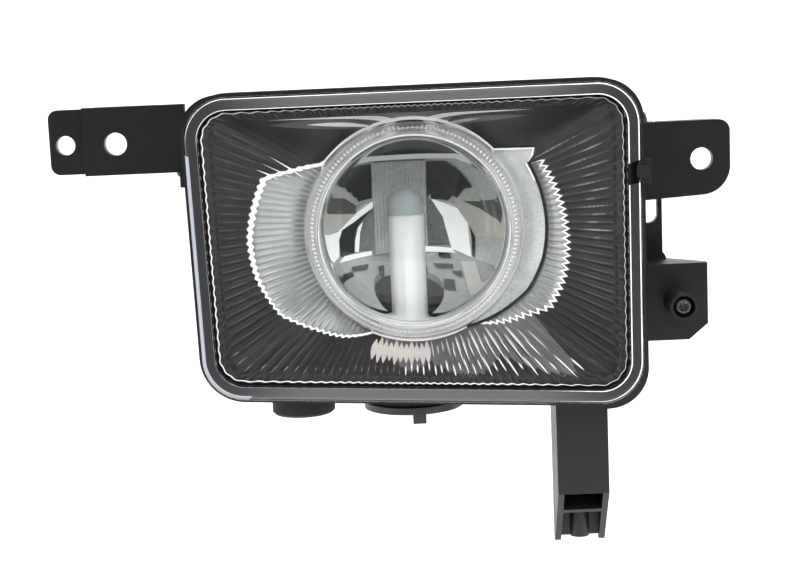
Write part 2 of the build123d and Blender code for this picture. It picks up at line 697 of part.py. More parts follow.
def bulb_seal():
    """Rubber ring between the base flange and the neck."""
    low, high = BASE_TOP, BASE_TOP + BULB_SEAL
    ring = rod_z(FLANGE_RADIUS - 1.2, BULB_X, BULB_DEPTH, low, high)
    return ring - rod_z(BASE_RADIUS + SMALL_FIT, BULB_X, BULB_DEPTH, low - 1, high + 1)


def bulb_collar():
    """Metal cup that grips the glass."""
    inner = GLASS_R + COLLAR_FIT
    points = [
        (0, SPIGOT_TOP),
        (COLLAR_R + 1.2, SPIGOT_TOP),
        (COLLAR_R + 1.2, SPIGOT_TOP + 2),
        (COLLAR_R, SPIGOT_TOP + 3),
        (COLLAR_R, COLLAR_TOP - 1),
        (inner + 0.6, COLLAR_TOP),
        (inner, COLLAR_TOP),
        (inner, GLASS_LOW),
        (0, GLASS_LOW),
    ]
    return turned_z(points, BULB_X, BULB_DEPTH)


def dome(radius, top):
    """Points of a bulb's rounded end, from its side up to the axis."""
    steps = 10
    height = radius * 0.9
    points = []
    for index in range(steps + 1):
        turn = pi / 2 * index / steps
        points.append((radius * cos(turn) if index < steps else 0, top - height + height * sin(turn)))
    return points


def bulb_glass():
    """Glass envelope, open at the bottom inside the collar."""
    outside = dome(GLASS_R, GLASS_TOP)
    inside = dome(GLASS_R - GLASS_WALL, GLASS_TOP - GLASS_WALL)
    points = [(GLASS_R, GLASS_LOW)] + outside + inside[::-1] + [(GLASS_R - GLASS_WALL, GLASS_LOW)]
    return turned_z(points, BULB_X, BULB_DEPTH)


def bulb_tip_coat():
    """Opaque coating over the bulb's tip."""
    outside = dome(GLASS_R + COAT_GAP + COAT, GLASS_TOP + COAT_GAP + COAT)
    inside = dome(GLASS_R + COAT_GAP, GLASS_TOP + COAT_GAP)
    low = GLASS_TOP - COAT_HEIGHT
    points = [(outside[0][0], low)] + outside + inside[::-1] + [(inside[0][0], low)]
    return turned_z(points, BULB_X, BULB_DEPTH)


def filament():
    """Filament coil, as one slim rod on the bulb's axis."""
    half = FILAMENT_LENGTH / 2
    return rod_z(FILAMENT_R, BULB_X, BULB_DEPTH, BOWL_CENTRE_Z - half, BOWL_CENTRE_Z + half)


def filament_supports():
    """Two lead wires that rise from the collar to the ends of the filament."""
    half = FILAMENT_LENGTH / 2
    low, high = BOWL_CENTRE_Z - half, BOWL_CENTRE_Z + half
    near, far = BULB_X - 1.8, BULB_X + 3.0
    y0, y1 = BULB_DEPTH - WIRE / 2, BULB_DEPTH + WIRE / 2
    short = rod_z(WIRE / 2, near, BULB_DEPTH, GLASS_LOW, low)
    short += block(near - WIRE / 2, BULB_X + WIRE / 2, y0, y1, low - WIRE, low)
    tall = rod_z(WIRE / 2, far, BULB_DEPTH, GLASS_LOW, high + WIRE)
    tall += block(BULB_X - WIRE / 2, far + WIRE / 2, y0, y1, high, high + WIRE)
    return Compound(children=[short, tall])


# ---- aiming ----
def adjuster_screw():
    """Aiming screw: hexagon socket head in the sleeve, thrust flange and thread."""
    wall_back = CARRIER_FRONT + BOX_WALL
    flange_front = wall_back + AIM_GAP
    screw = rod_y(AIM_HEAD_R, AIM_X, AIM_Z, AIM_HEAD_FRONT, flange_front)
    screw = chamfer(screw.edges().filter_by(GeomType.CIRCLE).sort_by(Axis.Y)[0], 0.35)
    screw += rod_y(AIM_FLANGE_R, AIM_X, AIM_Z, flange_front, flange_front + AIM_FLANGE)
    screw += rod_y(AIM_THREAD_R, AIM_X, AIM_Z, flange_front + AIM_FLANGE, AIM_END)
    hexagon = RegularPolygon(AIM_HEX / 2, 6, major_radius=False)
    recess = prism(Pos(AIM_X, AIM_Z) * hexagon, AIM_HEAD_FRONT - 1, AIM_HEAD_FRONT + AIM_HEX_DEPTH)
    clip_front = CARRIER_FRONT - AIM_GAP - CLIP_THICK
    groove = rod_y(AIM_HEAD_R + 1, AIM_X, AIM_Z, clip_front - 0.05, clip_front + CLIP_THICK + 0.05)
    groove -= rod_y(CLIP_GROOVE_R, AIM_X, AIM_Z, clip_front - 1, clip_front + CLIP_THICK + 1)
    return screw - recess - groove


def adjuster_clip():
    """Snap ring that keeps the aiming screw in the box."""
    back = CARRIER_FRONT - AIM_GAP
    front = back - CLIP_THICK
    ring = rod_y(CLIP_R, AIM_X, AIM_Z, front, back)
    ring -= rod_y(CLIP_GROOVE_R + SMALL_FIT, AIM_X, AIM_Z, front - 1, back + 1)
    return ring - block(AIM_X - 1.0, AIM_X + 1.0, front - 1, back + 1, AIM_Z, AIM_Z + CLIP_R + 1)


def adjuster_nut():
    """Nut with a waist between two flanges, held in the housing's fork."""
    waist_front = FORK_FRONT - FORK_PLAY
    waist_back = FORK_FRONT + FORK_THICK + FORK_PLAY
    nut = rod_y(NUT_WAIST_R, AIM_X, AIM_Z, waist_front, waist_back)
    nut += rod_y(NUT_R, AIM_X, AIM_Z, waist_front - NUT_FLANGE, waist_front)
    nut += rod_y(NUT_R, AIM_X, AIM_Z, waist_back, waist_back + NUT_FLANGE)
    bore = AIM_THREAD_R + SMALL_FIT
    return nut - rod_y(bore, AIM_X, AIM_Z, waist_front - NUT_FLANGE - 1, waist_back + NUT_FLANGE + 1)


# ---- pivots ----
def pivot_screws():
    """Shoulder screws on which the lamp tilts, one at each side."""
    screws = []
    for side, face in ((1, RIGHT_INNER), (-1, LEFT_INNER)):
        boss = face - side * PIVOT_GAP
        outer = face + side * (EAR_THICK + AIM_GAP)
        head_end = outer + side * PIVOT_HEAD
        screw = rod_between(SHOULDER_R, boss, outer)
        screw += rod_between(PIVOT_SHANK_R, boss - side * PIVOT_SHANK, boss)
        screw += rod_between(PIVOT_HEAD_R, outer, head_end)
        screw -= rod_between(SOCKET_R, head_end - side * SOCKET_DEPTH, head_end + side)
        screws.append(screw)
    return Compound(children=screws)


def rod_between(radius, xa, xb):
    """A cylinder on the pivot axis between two places."""
    return rod_x(radius, min(xa, xb), max(xa, xb), PIVOT_DEPTH, PIVOT_Z)


def pivot_bushes():
    """Bushes in the carrier's ears."""
    bushes = []
    for side, face in ((1, RIGHT_INNER), (-1, LEFT_INNER)):
        outer = face + side * EAR_THICK
        bush = rod_between(BUSH_R - SMALL_FIT, face, outer)
        bushes.append(bush - rod_between(SHOULDER_R + SMALL_FIT, face - side, outer + side))
    return Compound(children=bushes)


# ---- carrier ----
def left_arm():
    """Arm with a joggle, the fixing hole and, on its set-back tab, the locating hole."""
    joggle_x = LEFT_HOLE_X - JOGGLE_OUT
    end_x = LOCATING_X - TAB_END
    front, back = CARRIER_FRONT, CARRIER_FRONT + PLATE
    arm = block(joggle_x, LEFT_INNER, front, back, LEFT_ARM_LOW, LEFT_ARM_TOP)
    tab_low, tab_high = LEFT_ARM_LOW + TAB_CUT / 3, LEFT_ARM_TOP - TAB_CUT / 3
    tab_front, tab_back = front + JOGGLE_BACK, back + JOGGLE_BACK
    tab = block(end_x, joggle_x + PLATE, tab_front, tab_back, tab_low, tab_high)
    outer = tab.edges().filter_by(Axis.Y).group_by(Axis.X)[0]
    tab = fillet(outer, TAB_RADIUS)
    step = block(joggle_x, joggle_x + PLATE, front, tab_back, tab_low, tab_high)
    arm += tab + step
    rib_start = LEFT_INNER - CHEEK - EAR_THICK - PIVOT_HEAD
    rib_end = joggle_x + PLATE
    for low in (LEFT_ARM_LOW, LEFT_ARM_TOP - ARM_RIB):
        arm += block(rib_end, rib_start, back, front + ARM_RIB_DEPTH, low, low + ARM_RIB)
    arm -= rod_y(FIXING_R, LEFT_HOLE_X, LEFT_HOLE_Z, front - 1, back + 1)
    return arm - rod_y(LOCATING_R, LOCATING_X, LEFT_HOLE_Z, tab_front - 1, tab_back + 1)


def right_arm():
    """Flat arm with the right fixing hole."""
    end = RIGHT_HOLE_X + RIGHT_ARM_END
    low_end = RIGHT_ARM_LOW + RIGHT_ARM_RISE
    corners = [
        (RIGHT_INNER, RIGHT_ARM_TOP),
        (end, RIGHT_ARM_TOP),
        (end, low_end),
        (RIGHT_INNER, RIGHT_ARM_LOW),
    ]
    flat = make_face(Polyline(*corners, close=True))
    outer = flat.vertices().sort_by(Axis.X)[-2:].sort_by(Axis.Y)
    flat = fillet(outer[1], RIGHT_TOP_RADIUS)
    outer = flat.vertices().sort_by(Axis.Y).filter_by(lambda v: v.X > end - 0.01)
    flat = fillet(outer.sort_by(Axis.Y)[0], RIGHT_LOW_RADIUS)
    front, back = CARRIER_FRONT, CARRIER_FRONT + PLATE
    arm = prism(flat, front, back)
    rib_start = RIGHT_INNER + EAR_THICK + PIVOT_HEAD + 1
    rib_back = front + ARM_RIB_DEPTH
    high = RIGHT_ARM_TOP
    arm += block(rib_start, end - RIGHT_TOP_RADIUS, back, rib_back, high - ARM_RIB, high)
    arm += block(rib_start, RIGHT_HOLE_X, back, rib_back, low_end, low_end + ARM_RIB)
    return arm - rod_y(FIXING_R - 0.05, RIGHT_HOLE_X, RIGHT_HOLE_Z, front - 1, back + 1)


def frame():
    """Open frame round the housing: top strap, two side cheeks and the foot of the leg."""
    left, right = LEFT_INNER - CHEEK, RIGHT_INNER + CHEEK
    outside = [(left, STRAP_TOP), (right, STRAP_TOP), (right, FOOT_LOW), (left, FOOT_LOW)]
    inside = [
        (LEFT_INNER, STRAP_LOW),
        (RIGHT_INNER, STRAP_LOW),
        (RIGHT_INNER, FOOT_TOP),
        (LEFT_INNER, FOOT_TOP),
    ]
    inner = rounded(inside, FRAME_RADIUS - CHEEK)
    ring = band(rounded(outside, FRAME_RADIUS), inner, CARRIER_FRONT, CARRIER_BACK)
    ring -= block(left - 1, LEG_LEFT, CARRIER_FRONT - 1, CARRIER_BACK + 1, FOOT_LOW - 1, LEFT_CHEEK_LOW)
    for side, face in ((1, RIGHT_INNER), (-1, LEFT_INNER)):
        ring += rod_between(EAR_R, face, face + side * EAR_THICK)
    return ring


def side_web():
    """Slotted web from the right arm down to the adjuster box."""
    outer = RIGHT_INNER + WEB_OUT
    back = WEB_DEPTH + WEB_THICK
    web = block(RIGHT_INNER, outer, WEB_DEPTH, back, BOX_TOP - 1, RIGHT_ARM_LOW + 4)
    slot_right = outer - WEB_STRIP
    slot_left = RIGHT_INNER + CHEEK
    slot = block(slot_left, slot_right, WEB_DEPTH - 1, back + 1, WEB_SILL + 2, RIGHT_ARM_LOW + 1)
    middle = (slot_left + slot_right) / 2
    radius = (slot_right - slot_left) / 2
    slot += rod_y(radius, middle, WEB_SILL + radius, WEB_DEPTH - 1, back + 1)
    web -= slot
    web += block(slot_right, outer, CARRIER_FRONT, back, RIGHT_ARM_LOW + 1, RIGHT_ARM_LOW + 4)
    boss_x = outer - WEB_BOSS_IN
    web += rod_y(WEB_BOSS_R, boss_x, BOX_TOP - 0.7, WEB_DEPTH, back + 1)
    return web


def adjuster_box():
    """Front wall with a cut corner, top and bottom gussets and the screw's sleeve."""
    outer = RIGHT_INNER + BOX_OUT
    inner = RIGHT_INNER
    corners = [
        (inner, BOX_TOP),
        (outer, BOX_TOP),
        (outer, BOX_LOW + BOX_CHAMFER_Z),
        (outer - BOX_CHAMFER_X, BOX_LOW),
        (inner, BOX_LOW),
    ]
    front, back = CARRIER_FRONT, CARRIER_FRONT + BOX_WALL
    box = prism(make_face(Polyline(*corners, close=True)), front, back)
    plan = [
        (inner, front),
        (outer, front),
        (outer, GUSSET_OUT_BACK),
        (inner + BOX_WALL + 4, GUSSET_BACK),
        (inner, GUSSET_BACK),
    ]
    gusset = make_face(Polyline(*plan, close=True))
    box += Pos(0, 0, BOX_TOP - BOX_WALL) * extrude(gusset, amount=BOX_WALL)
    shorter = [
        (inner, front),
        (outer - BOX_CHAMFER_X, front),
        (outer - BOX_CHAMFER_X, GUSSET_OUT_BACK),
        (inner + BOX_WALL + 2, GUSSET_BACK),
        (inner, GUSSET_BACK),
    ]
    lower = make_face(Polyline(*shorter, close=True))
    box += Pos(0, 0, BOX_LOW) * extrude(lower, amount=BOX_WALL)
    box += block(outer - BOX_WALL, outer, front, GUSSET_OUT_BACK, BOX_LOW + BOX_CHAMFER_Z, BOX_TOP)
    box += rod_y(SLEEVE_R, AIM_X, AIM_Z, COLLAR_FRONT, front)
    box -= rod_y(SLEEVE_BORE, AIM_X, AIM_Z, COLLAR_FRONT - 1, front)
    return box - rod_y(AIM_HEAD_R + SMALL_FIT, AIM_X, AIM_Z, front - 1, back + 1)


def leg():
    """Hollow guide leg below the frame, open at the front of its lower end."""
    left, right = LEG_LEFT, LEG_LEFT + LEG_WIDTH
    front, back = CARRIER_FRONT, CARRIER_BACK
    front_low, tip_low = FOOT_LOW - LEG_FRONT_LENGTH, FOOT_LOW - LEG_LENGTH
    side = [
        (front, FOOT_TOP),
        (back, FOOT_TOP),
        (back, tip_low + 1.5),
        (back - 1.0, tip_low),
        (back - 2.2, tip_low),
        (front, front_low),
    ]
    flat = Plane.YZ * make_face(Polyline(*side, close=True))
    post = Pos(left, 0, 0) * extrude(flat, amount=LEG_WIDTH)
    shelf_top = FOOT_LOW - LEG_SHELF
    inner_left, inner_right = left + LEG_WALL, right - LEG_WALL
    inner_front, inner_back = front + LEG_WALL, back - LEG_WALL
    post -= block(inner_left, inner_right, inner_front, inner_back, shelf_top, FOOT_LOW)
    post -= block(inner_left, inner_right, front - 1, inner_back, shelf_top, front_low)
    shelf_low = shelf_top - LEG_SHELF_THICK
    post -= block(inner_left, inner_right, front - 1, inner_back, tip_low - 1, shelf_low)
    rear_low = FOOT_LOW - LEG_REAR_LENGTH
    post -= block(inner_left, inner_right, front - 1, back + 1, tip_low - 1, rear_low)
    boss = rod_z(LEG_BOSS_R, (left + right) / 2, inner_back, rear_low, shelf_low)
    boss -= block(left, right, back, back + LEG_BOSS_R + 1, rear_low - 1, shelf_low + 1)
    return post + boss


def carrier_bracket():
    """The one-piece moulded carrier that the car holds and the lamp tilts in."""
    moulding = frame() + left_arm() + right_arm() + side_web() + adjuster_box() + leg()
    for side, face in ((1, RIGHT_INNER), (-1, LEFT_INNER)):
        moulding -= rod_between(BUSH_R, face - side, face + side * (EAR_THICK + 1))
    inner, outer = RIGHT_INNER - 1, RIGHT_INNER + CHEEK
    low, high = AIM_Z - WINDOW_HALF, AIM_Z + WINDOW_HALF
    return moulding - block(inner, outer, WINDOW_FRONT, GUSSET_BACK + 1, low, high)


PIECES = {
    "carrier_bracket": carrier_bracket,
    "pivot_bushes": pivot_bushes,
    "housing": housing,
    "front_lens": front_lens,
    "lens_seal": lens_seal,
    "fluted_bezel": fluted_bezel,
    "lens_ring": lens_ring,
    "inner_lens": inner_lens,
    "reflector_bowl": reflector_bowl,
    "reflector_screws": reflector_screws,
    "pivot_screws": pivot_screws,
    "vent_cap": vent_cap,
    "vent_membrane": vent_membrane,
    "bulb_base": bulb_base,
    "bulb_terminals": bulb_terminals,
    "bulb_seal": bulb_seal,
    "bulb_collar": bulb_collar,
    "bulb_glass": bulb_glass,
    "bulb_tip_coat": bulb_tip_coat,
    "filament": filament,
    "filament_supports": filament_supports,
    "adjuster_screw": adjuster_screw,
    "adjuster_clip": adjuster_clip,
    "adjuster_nut": adjuster_nut,
}

os.makedirs("parts", exist_ok=True)
for name, make in PIECES.items():
    save(name, make())

lever = PIVOT_Z - AIM_Z
print("tilt axis, from the origin:", PIVOT_DEPTH - ORIGIN[1], PIVOT_Z - ORIGIN[2])
print("aiming axis, from the origin:", AIM_X - ORIGIN[0], AIM_Z - ORIGIN[2])
print("nut travel per radian of tilt:", lever, "screw turn per radian:", 2 * pi * lever / AIM_PITCH)
print("bulb axis, from the origin:", BULB_X - ORIGIN[0], BULB_DEPTH - ORIGIN[1])
print("right fixing hole:", RIGHT_HOLE_X - ORIGIN[0], RIGHT_HOLE_Z - ORIGIN[2])
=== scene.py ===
import json
import logging
import math
from dataclasses import dataclass, field
from enum import Enum
from typing import Callable, Sequence

import bpy
from mathutils import Matrix, Vector
from mathutils.geometry import delaunay_2d_cdt


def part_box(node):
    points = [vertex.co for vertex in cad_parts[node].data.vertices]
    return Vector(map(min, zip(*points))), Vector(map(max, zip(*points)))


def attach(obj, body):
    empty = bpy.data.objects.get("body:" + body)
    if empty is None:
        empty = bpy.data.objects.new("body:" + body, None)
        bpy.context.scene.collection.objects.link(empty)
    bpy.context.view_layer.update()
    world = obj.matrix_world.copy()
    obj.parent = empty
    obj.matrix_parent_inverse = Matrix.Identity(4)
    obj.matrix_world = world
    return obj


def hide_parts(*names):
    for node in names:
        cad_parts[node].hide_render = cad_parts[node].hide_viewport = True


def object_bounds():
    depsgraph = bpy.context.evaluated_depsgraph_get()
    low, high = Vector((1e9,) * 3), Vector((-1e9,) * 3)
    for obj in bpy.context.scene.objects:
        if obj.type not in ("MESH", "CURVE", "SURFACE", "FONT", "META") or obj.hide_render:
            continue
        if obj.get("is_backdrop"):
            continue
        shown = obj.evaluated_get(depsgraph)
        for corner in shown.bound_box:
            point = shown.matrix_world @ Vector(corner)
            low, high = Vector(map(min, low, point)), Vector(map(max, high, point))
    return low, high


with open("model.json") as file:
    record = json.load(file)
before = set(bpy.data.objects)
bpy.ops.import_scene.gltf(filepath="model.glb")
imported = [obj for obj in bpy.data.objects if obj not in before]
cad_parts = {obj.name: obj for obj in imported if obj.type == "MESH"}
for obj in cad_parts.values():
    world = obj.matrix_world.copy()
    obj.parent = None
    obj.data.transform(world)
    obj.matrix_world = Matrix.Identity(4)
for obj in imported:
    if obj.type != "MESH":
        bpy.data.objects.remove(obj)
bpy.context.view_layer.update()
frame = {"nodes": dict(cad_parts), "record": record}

LOG = logging.getLogger("fog_light")
MM = 0.001
Colour = tuple[float, float, float]
Point = tuple[float, float, float]
Curve = tuple[tuple[float, float], ...]
Row = Callable[[float], tuple[float, float]]


class Surface(Enum):
    """How a moulded surface was left by its tool."""

    SATIN = 0.38
    SPARK_ERODED = 0.55
    RUBBERY = 0.72


# ---------------------------------------------------------------- places from the frame


def lamp_centre() -> Vector:
    """Return the point where the lamp's optical axis meets the front of the lens."""
    low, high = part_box("inner_lens")
    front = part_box("front_lens")[0].y
    return Vector(((low.x + high.x) / 2, front, (low.z + high.z) / 2))


CENTRE = lamp_centre()


def place(across: float, depth: float, up: float) -> Point:
    """Turn millimetres from the lamp's centre into a point of the row frame.

    Args:
        across: distance to the right of the optical axis.
        depth: distance behind the front of the lens.
        up: distance above the optical axis.

    Returns:
        The point, in metres.
    """
    return (CENTRE.x + across * MM, CENTRE.y + depth * MM, CENTRE.z + up * MM)


def smooth_step(low: float, high: float, value: float) -> float:
    """Return 0 below low, 1 above high and an eased value between them."""
    share = min(1.0, max(0.0, (value - low) / (high - low)))
    return share * share * (3 - 2 * share)


def arc(start: float, stop: float, step: float) -> list[float]:
    """Return directions in radians from start to stop, step apart, all three in degrees."""
    return [math.radians(start + i * step) for i in range(round((stop - start) / step) + 1)]


def read_curve(points: Curve, value: float) -> float:
    """Read a curve through points, straight from each to the next.

    Args:
        points: places and heights, in rising order of place.
        value: the place to read at.

    Returns:
        The height there; the first or last height outside the points.
    """
    if value <= points[0][0]:
        return points[0][1]
    for (x0, y0), (x1, y1) in zip(points, points[1:]):
        if value <= x1:
            share = (value - x0) / (x1 - x0)
            return y0 + (y1 - y0) * share
    return points[-1][1]


@dataclass
class RimOutline:
    """The lens outline seen from the front: four straight edges and rounded corners.

    Sizes are millimetres; the left, right, top and low limits come from the frame.
    """

    left_lean: float = 2.1
    right_lean: float = 0.6
    low_left_rise: float = 7.4
    corner: float = 13.0
    corners: list[tuple[float, float]] = field(init=False)

    def __post_init__(self) -> None:
        """Work the four sharp corners out from the lens's box."""
        low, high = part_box("front_lens")
        left = (low.x - CENTRE.x) / MM
        right = (high.x - CENTRE.x) / MM
        top = (high.z - CENTRE.z) / MM
        bottom = (low.z - CENTRE.z) / MM
        self.corners = [
            (left - 0.3, top),
            (left - 0.3 + self.left_lean, bottom - 0.4 + self.low_left_rise),
            (right + 0.1 - self.right_lean, bottom - 0.4),
            (right + 0.1, top),
        ]

    def depth_inside(self, x: float, z: float) -> float:
        """Return how far a point lies inside the outline, negative outside it."""
        sides = []
        for (x0, z0), (x1, z1) in zip(self.corners, self.corners[1:] + self.corners[:1]):
            length = math.hypot(x1 - x0, z1 - z0)
            nx, nz = -(z1 - z0) / length, (x1 - x0) / length
            sides.append((nx * (x - x0) + nz * (z - z0), nx, nz))
        ranked = sorted(sides)
        near, next_near = ranked[0], ranked[1]
        if near[0] < self.corner and next_near[0] < self.corner:
            a, b = self.corner - near[0], self.corner - next_near[0]
            dot = near[1] * next_near[1] + near[2] * next_near[2]
            spread = max(1e-6, 1 - dot * dot)
            reach = math.sqrt(max(0.0, (a * a + b * b - 2 * a * b * dot) / spread))
            if a > dot * b and b > dot * a:
                return self.corner - reach
        return near[0]

    def radius(self, turn: float, inset: float) -> float:
        """Return the distance from the axis to the outline moved inwards by inset.

        Args:
            turn: direction from the axis, in radians, 0 to the right and rising upwards.
            inset: how far inside the lens's edge, in millimetres.
        """
        low, high = 10.0, 110.0
        for _ in range(26):
            middle = (low + high) / 2
            if self.depth_inside(middle * math.cos(turn), middle * math.sin(turn)) > inset:
                low = middle
            else:
                high = middle
        return low


# ---------------------------------------------------------------- shader groups


def new_group(name: str, inputs: dict[str, float], outputs: Sequence[str]) -> bpy.types.NodeTree:
    """Make a shader node group with plain number inputs and named outputs.

    Args:
        name: the group's name.
        inputs: input names and their default values.
        outputs: output names; each carries one number.

    Returns:
        The group, holding only its input and output nodes.
    """
    group = bpy.data.node_groups.new(name, "ShaderNodeTree")
    for label, value in inputs.items():
        socket = group.interface.new_socket(label, in_out="INPUT", socket_type="NodeSocketFloat")
        socket.default_value = value
    for label in outputs:
        group.interface.new_socket(label, in_out="OUTPUT", socket_type="NodeSocketFloat")
    group.nodes.new("NodeGroupInput")
    group.nodes.new("NodeGroupOutput")
    return group


def ends(group: bpy.types.NodeTree) -> tuple[bpy.types.Node, bpy.types.Node]:
    """Return a group's input node and output node."""
    return group.nodes["Group Input"], group.nodes["Group Output"]


def add(tree: bpy.types.NodeTree, kind: str, **values: object) -> bpy.types.Node:
    """Add a node and set its properties or inputs by name.

    Args:
        tree: where the node goes.
        kind: its type name without the ShaderNode prefix.
        values: properties, or inputs with spaces written as underscores.

    Returns:
        The new node.
    """
    node = tree.nodes.new("ShaderNode" + kind)
    for key, value in values.items():
        label = key.replace("_", " ")
        if label in node.inputs:
            node.inputs[label].default_value = value
        else:
            setattr(node, key, value)
    return node


def product(
    tree: bpy.types.NodeTree, first: bpy.types.NodeSocket, second: bpy.types.NodeSocket
) -> bpy.types.NodeSocket:
    """Multiply two values and return the result."""
    node = add(tree, "Math", operation="MULTIPLY")
    tree.links.new(first, node.inputs[0])
    tree.links.new(second, node.inputs[1])
    return node.outputs[0]


def object_place(tree: bpy.types.NodeTree, scale: float = 1.0) -> bpy.types.NodeSocket:
    """Return the surface point in object space, in millimetres times scale."""
    where = add(tree, "TexCoord")
    grow = add(tree, "VectorMath", operation="SCALE")
    grow.inputs["Scale"].default_value = scale / MM
    tree.links.new(where.outputs["Object"], grow.inputs[0])
    return grow.outputs[0]


def grain_group() -> bpy.types.NodeTree:
    """Fine moulded grain with slow patches: a height and a roughness change."""
    group = new_group("moulded_grain", {"Size": 1.0, "Depth": 1.0, "Patches": 1.0}, ["Height", "Gloss"])
    start, end = ends(group)
    point = object_place(group)
    shrink = add(group, "VectorMath", operation="DIVIDE")
    group.links.new(point, shrink.inputs[0])
    group.links.new(start.outputs["Size"], shrink.inputs[1])
    fine = add(group, "TexNoise", Scale=3.2, Detail=4.0, Roughness=0.62)
    pits = add(group, "TexVoronoi", Scale=4.5)
    group.links.new(shrink.outputs[0], fine.inputs["Vector"])
    group.links.new(shrink.outputs[0], pits.inputs["Vector"])
    both = add(group, "Math", operation="ADD")
    group.links.new(fine.outputs["Fac"], both.inputs[0])
    group.links.new(pits.outputs["Distance"], both.inputs[1])
    height = product(group, both.outputs[0], start.outputs["Depth"])
    group.links.new(height, end.inputs["Height"])
    slow = add(group, "TexNoise", Scale=0.09, Detail=3.0)
    group.links.new(point, slow.inputs["Vector"])
    centred = add(group, "Math", operation="SUBTRACT")
    centred.inputs[1].default_value = 0.5
    group.links.new(slow.outputs["Fac"], centred.inputs[0])
    gloss = product(group, centred.outputs[0], start.outputs["Patches"])
    group.links.new(gloss, end.inputs["Gloss"])
    return group


def edge_group() -> bpy.types.NodeTree:
    """Worn edges with a painted highlight: a mask that is 1 where the surface turns sharply."""
    group = new_group("worn_and_lit_edges", {"Amount": 1.0}, ["Mask"])
    start, end = ends(group)
    soft = add(group, "Bevel", samples=4, Radius=0.45 * MM)
    flat = add(group, "NewGeometry")
    turn = add(group, "VectorMath", operation="DOT_PRODUCT")
    group.links.new(soft.outputs[0], turn.inputs[0])
    group.links.new(flat.outputs["Normal"], turn.inputs[1])
    spread = add(group, "MapRange", From_Min=0.995, From_Max=0.85)
    group.links.new(turn.outputs["Value"], spread.inputs["Value"])
    patchy = add(group, "TexNoise", Scale=0.5, Detail=5.0)
    group.links.new(object_place(group), patchy.inputs["Vector"])
    lift = add(group, "MapRange", From_Min=0.35, From_Max=0.65)
    group.links.new(patchy.outputs["Fac"], lift.inputs["Value"])
    mask = product(group, spread.outputs[0], lift.outputs[0])
    scaled = product(group, mask, start.outputs["Amount"])
    group.links.new(scaled, end.inputs["Mask"])
    return group


def dust_group() -> bpy.types.NodeTree:
    """Light dust on what faces up: a mask from 0 to 1."""
    group = new_group("settled_dust", {"Amount": 1.0}, ["Mask"])
    start, end = ends(group)
    flat = add(group, "NewGeometry")
    split = add(group, "SeparateXYZ")
    group.links.new(flat.outputs["Normal"], split.inputs[0])
    up = add(group, "MapRange", From_Min=0.2, From_Max=1.0)
    group.links.new(split.outputs["Z"], up.inputs["Value"])
    specks = add(group, "TexNoise", Scale=0.8, Detail=6.0, Roughness=0.7)
    group.links.new(object_place(group), specks.inputs["Vector"])
    spots = add(group, "MapRange", From_Min=0.45, From_Max=0.8)
    group.links.new(specks.outputs["Fac"], spots.inputs["Value"])
    mask = product(group, up.outputs[0], spots.outputs[0])
    scaled = product(group, mask, start.outputs["Amount"])
    group.links.new(scaled, end.inputs["Mask"])
    return group


def plating_group() -> bpy.types.NodeTree:
    """Vacuum plating over moulded plastic: ripple height, haze and a shade change."""
    group = new_group("plating_ripple", {"Ripple": 1.0, "Haze": 1.0}, ["Height", "Haze", "Shade"])
    start, end = ends(group)
    point = object_place(group)
    waves = add(group, "TexNoise", Scale=0.22, Detail=2.0)
    mist = add(group, "TexNoise", Scale=1.4, Detail=5.0, Roughness=0.6)
    group.links.new(point, waves.inputs["Vector"])
    group.links.new(point, mist.inputs["Vector"])
    height = product(group, waves.outputs["Fac"], start.outputs["Ripple"])
    group.links.new(height, end.inputs["Height"])
    haze = add(group, "MapRange", From_Min=0.35, From_Max=0.75)
    group.links.new(mist.outputs["Fac"], haze.inputs["Value"])
    scaled = product(group, haze.outputs[0], start.outputs["Haze"])
    group.links.new(scaled, end.inputs["Haze"])
    group.links.new(waves.outputs["Fac"], end.inputs["Shade"])
    return group


def brushed_group() -> bpy.types.NodeTree:
    """Turned or drawn metal: fine lines round the piece and small stains."""
    group = new_group("drawn_lines", {"Lines": 1.0}, ["Height", "Stain"])
    start, end = ends(group)
    stretch = add(group, "VectorMath", operation="MULTIPLY")
    stretch.inputs[1].default_value = (1.0, 14.0, 14.0)
    group.links.new(object_place(group), stretch.inputs[0])
    lines = add(group, "TexNoise", Scale=1.6, Detail=4.0)
    group.links.new(stretch.outputs[0], lines.inputs["Vector"])
    height = product(group, lines.outputs["Fac"], start.outputs["Lines"])
    group.links.new(height, end.inputs["Height"])
    stain = add(group, "TexNoise", Scale=0.7, Detail=5.0)
    group.links.new(object_place(group), stain.inputs["Vector"])
    group.links.new(stain.outputs["Fac"], end.inputs["Stain"])
    return group


GROUPS: dict[str, bpy.types.NodeTree] = {
    "grain": grain_group(),
    "edges": edge_group(),
    "dust": dust_group(),
    "plating": plating_group(),
    "lines": brushed_group(),
}


def use_group(tree: bpy.types.NodeTree, key: str, **values: float) -> bpy.types.Node:
    """Place one of the shared groups in a material with its own values."""
    node = tree.nodes.new("ShaderNodeGroup")
    node.node_tree = GROUPS[key]
    for label, value in values.items():
        node.inputs[label].default_value = value
    return node


def blank(name: str) -> tuple[bpy.types.Material, bpy.types.NodeTree, bpy.types.Node]:
    """Make a material that holds a Principled BSDF and its output.

    Returns:
        The material, its node tree and the Principled node.
    """
    material = bpy.data.materials.new(name)
    material.use_nodes = True
    tree = material.node_tree
    return material, tree, tree.nodes["Principled BSDF"]


def mixed(
    tree: bpy.types.NodeTree, mask: bpy.types.NodeSocket, low: Colour, high: Colour
) -> bpy.types.NodeSocket:
    """Mix two colours by a mask and return the result."""
    mix = add(tree, "Mix", data_type="RGBA")
    mix.inputs[6].default_value = (*low, 1)
    mix.inputs[7].default_value = (*high, 1)
    tree.links.new(mask, mix.inputs[0])
    return mix.outputs[2]


